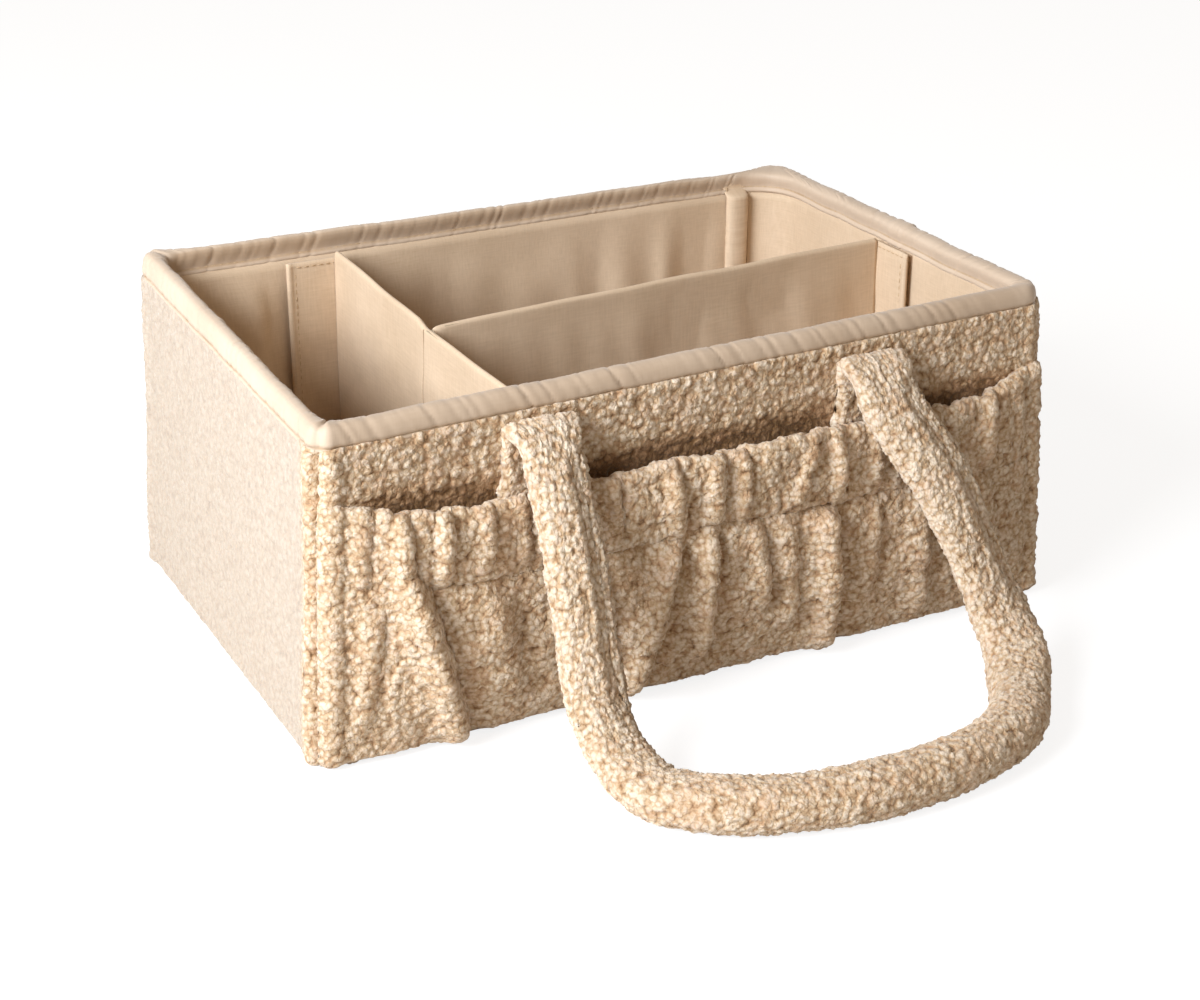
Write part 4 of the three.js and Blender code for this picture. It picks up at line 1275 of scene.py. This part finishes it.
def buildHandle(side, seed):
    shape = handleShape
    centre, total = handleCentre(int(shape["length"] / shape["pitch"]))
    rounds = int(shape["round"] / shape["pitch"]) + 1
    points, share, s = handleSurface(centre, total, rounds, shape["pile"], seed)
    fromEnd = (0.5 - np.abs(share - 0.5))[:, None]
    a = (share * total)[:, None] + 0 * s
    b = np.linspace(0, shape["round"], rounds)[None, :] + 0 * a
    height, curl, tint = pile(a, b, seed, shape["round"], shape["pileSize"])
    # Inside the fold the pile is crushed
    away = total * fromEnd
    crushed = smooth(away, 0.010, 0.018) * smooth(-away, -0.058, -0.044) * smooth(-s, -0.5, 0.1)
    height = height * (1 - 0.92 * crushed)
    points = points + normalsOf(points, colsMeet=True) * height[..., None]
    # The straps are paler and more even than the round grip
    flat = 1 - smooth(fromEnd, *shape["gripFrom"])
    curl = curl * (1 - 0.35 * flat) + 0.40 * flat
    sign = 1 if side == "front" else -1
    turn = np.array([sign, sign, 1])
    name, layers = f"{side}_handle_fleece", {"curl": curl, "tint": tint}
    cover = layCloth(name, points * turn, (shape["round"], total), "fleece", layers, body=None)
    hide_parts(f"{side}_handle_cover")
    # The wadding inside it, a few millimetres smaller all round
    few, length = handleCentre(150)
    inside = handleSurface(few, length, 25, shape["pile"] + shape["padding"])[0]
    inside = inside[shape["bare"] : -shape["bare"]]
    core = layCloth(f"{side}_handle_wadding", inside * turn, (0.06, length), "wadding", body=None)
    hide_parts(f"{side}_handle_core")
    # Their placement is baked into their meshes
    for piece in (cover, core):
        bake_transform(piece)


buildHandle("front", 701)
buildHandle("back", 731)
print("handles made")


# Sewn ends of the straps

def buildStrapEnd(node, seed):
    low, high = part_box(node)
    sign = -1 if low.y < 0 else 1
    wall, out = (high.y, low.y) if sign < 0 else (low.y, high.y)
    x = evenly(low.x, high.x, 0.0009)[None, :]
    side = evenly(low.z, high.z, 0.0009)
    z = np.concatenate([side, side[-1:], side[:1], side[:1]])[:, None]
    on = np.concatenate([np.ones(len(side)), [0, 0, 1]])[:, None]
    edge = np.minimum(np.minimum(x - low.x, high.x - x), np.minimum(z - low.z, high.z - z))
    roll = np.sqrt(np.clip(1 - (1 - np.clip(edge / 0.004, 0, 1)) ** 2, 0, 1))
    points = grid(x, np.where(on > 0, wall + (out - wall) * (0.15 + 0.6 * roll), wall), z)
    height, curl, tint = pile(x + 0 * z, z + 0 * x, seed)
    points = points + np.array([0, sign, 0]) * (height * on)[..., None]
    piece = layCloth(f"{node}_fleece", points, (high.x - low.x, 0.05), "fleece", {"curl": curl, "tint": tint})
    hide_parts(node)


for number, node in enumerate(("front_left", "front_right", "back_left", "back_right")):
    buildStrapEnd(node + "_strap_end", 801 + number)

# The boards keep their own solids
for node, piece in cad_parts.items():
    if node.endswith("board"):
        piece.data.materials.clear()
        piece.data.materials.append(finishes["stiff_board"])


# Floor, lamps and world

stageLook = {
    "floorSize": 6,
    "floorTint": (0.78, 0.76, 0.73, 1),  # as the lamps light the part off it
    "floorShare": 0.30,  # as the camera sees it: how much light it gives back, and its glow
    "floorGlow": 0.84,
    "keyPower": 45.5,
    "keyColour": (0.93, 0.985, 1.06),
    "keySize": 0.9,
    "keyPlace": (-1.43, -0.50, 0.95),
    "keyAim": (0, 0, 0.08),
    "air": 0.35,
    "airColour": (1, 0.855, 0.71, 1),
}


def seenDirectly(tree):
    # 1 for what the camera sees, also in a reflection or through something clear, and else 0
    light = addNode(tree, "LightPath")
    seen = light.outputs["Is Camera Ray"]
    for name in ("Is Glossy Ray", "Is Transmission Ray"):
        seen = addNode(tree, "Math", {"operation": "MAXIMUM"}, {0: seen, 1: light.outputs[name]}).outputs[0]
    return seen


# Matt white paper: seen by the camera it glows a little, and keeps the shadow
paper, tree, shader = newMaterial("white_paper_floor")
tree.nodes.remove(shader)
matt = addNode(tree, "BsdfDiffuse", links={"Color": stageLook["floorTint"]})
pale = addNode(tree, "BsdfDiffuse", links={"Color": (*(stageLook["floorShare"],) * 3, 1)})
glow = addNode(tree, "Emission", links={"Strength": stageLook["floorGlow"]})
both = addNode(tree, "AddShader", links={0: pale, 1: glow})
mix = addNode(tree, "MixShader", links={0: seenDirectly(tree), 1: matt, 2: both})
tree.links.new(mix.outputs[0], tree.nodes["Material Output"].inputs["Surface"])

bm = bmesh.new()
bmesh.ops.create_grid(bm, x_segments=1, y_segments=1, size=stageLook["floorSize"])
floor = finishPiece("floor", bm, bpy.data.meshes.new("floor"), paper, None)

world = bpy.data.worlds.new("studio")
bpy.context.scene.world = world
world.use_nodes = True
tree = world.node_tree
air = addNode(tree, "Background", links={"Color": stageLook["airColour"], "Strength": stageLook["air"]})
white = addNode(tree, "Background", links={"Color": (1, 1, 1, 1), "Strength": 1.0})
mix = addNode(tree, "MixShader", links={0: seenDirectly(tree), 1: air, 2: white})
tree.links.new(mix.outputs[0], tree.nodes["World Output"].inputs["Surface"])

key = bpy.data.objects.new("key", bpy.data.lights.new("key", "AREA"))
key.data.shape = "DISK"
key.data.size = stageLook["keySize"]
key.data.energy = stageLook["keyPower"]
key.data.color = stageLook["keyColour"]
key.location = stageLook["keyPlace"]
key.rotation_euler = (Vector(stageLook["keyAim"]) - key.location).to_track_quat("-Z", "Y").to_euler()
bpy.context.scene.collection.objects.link(key)
print("floor, lamps and world made")
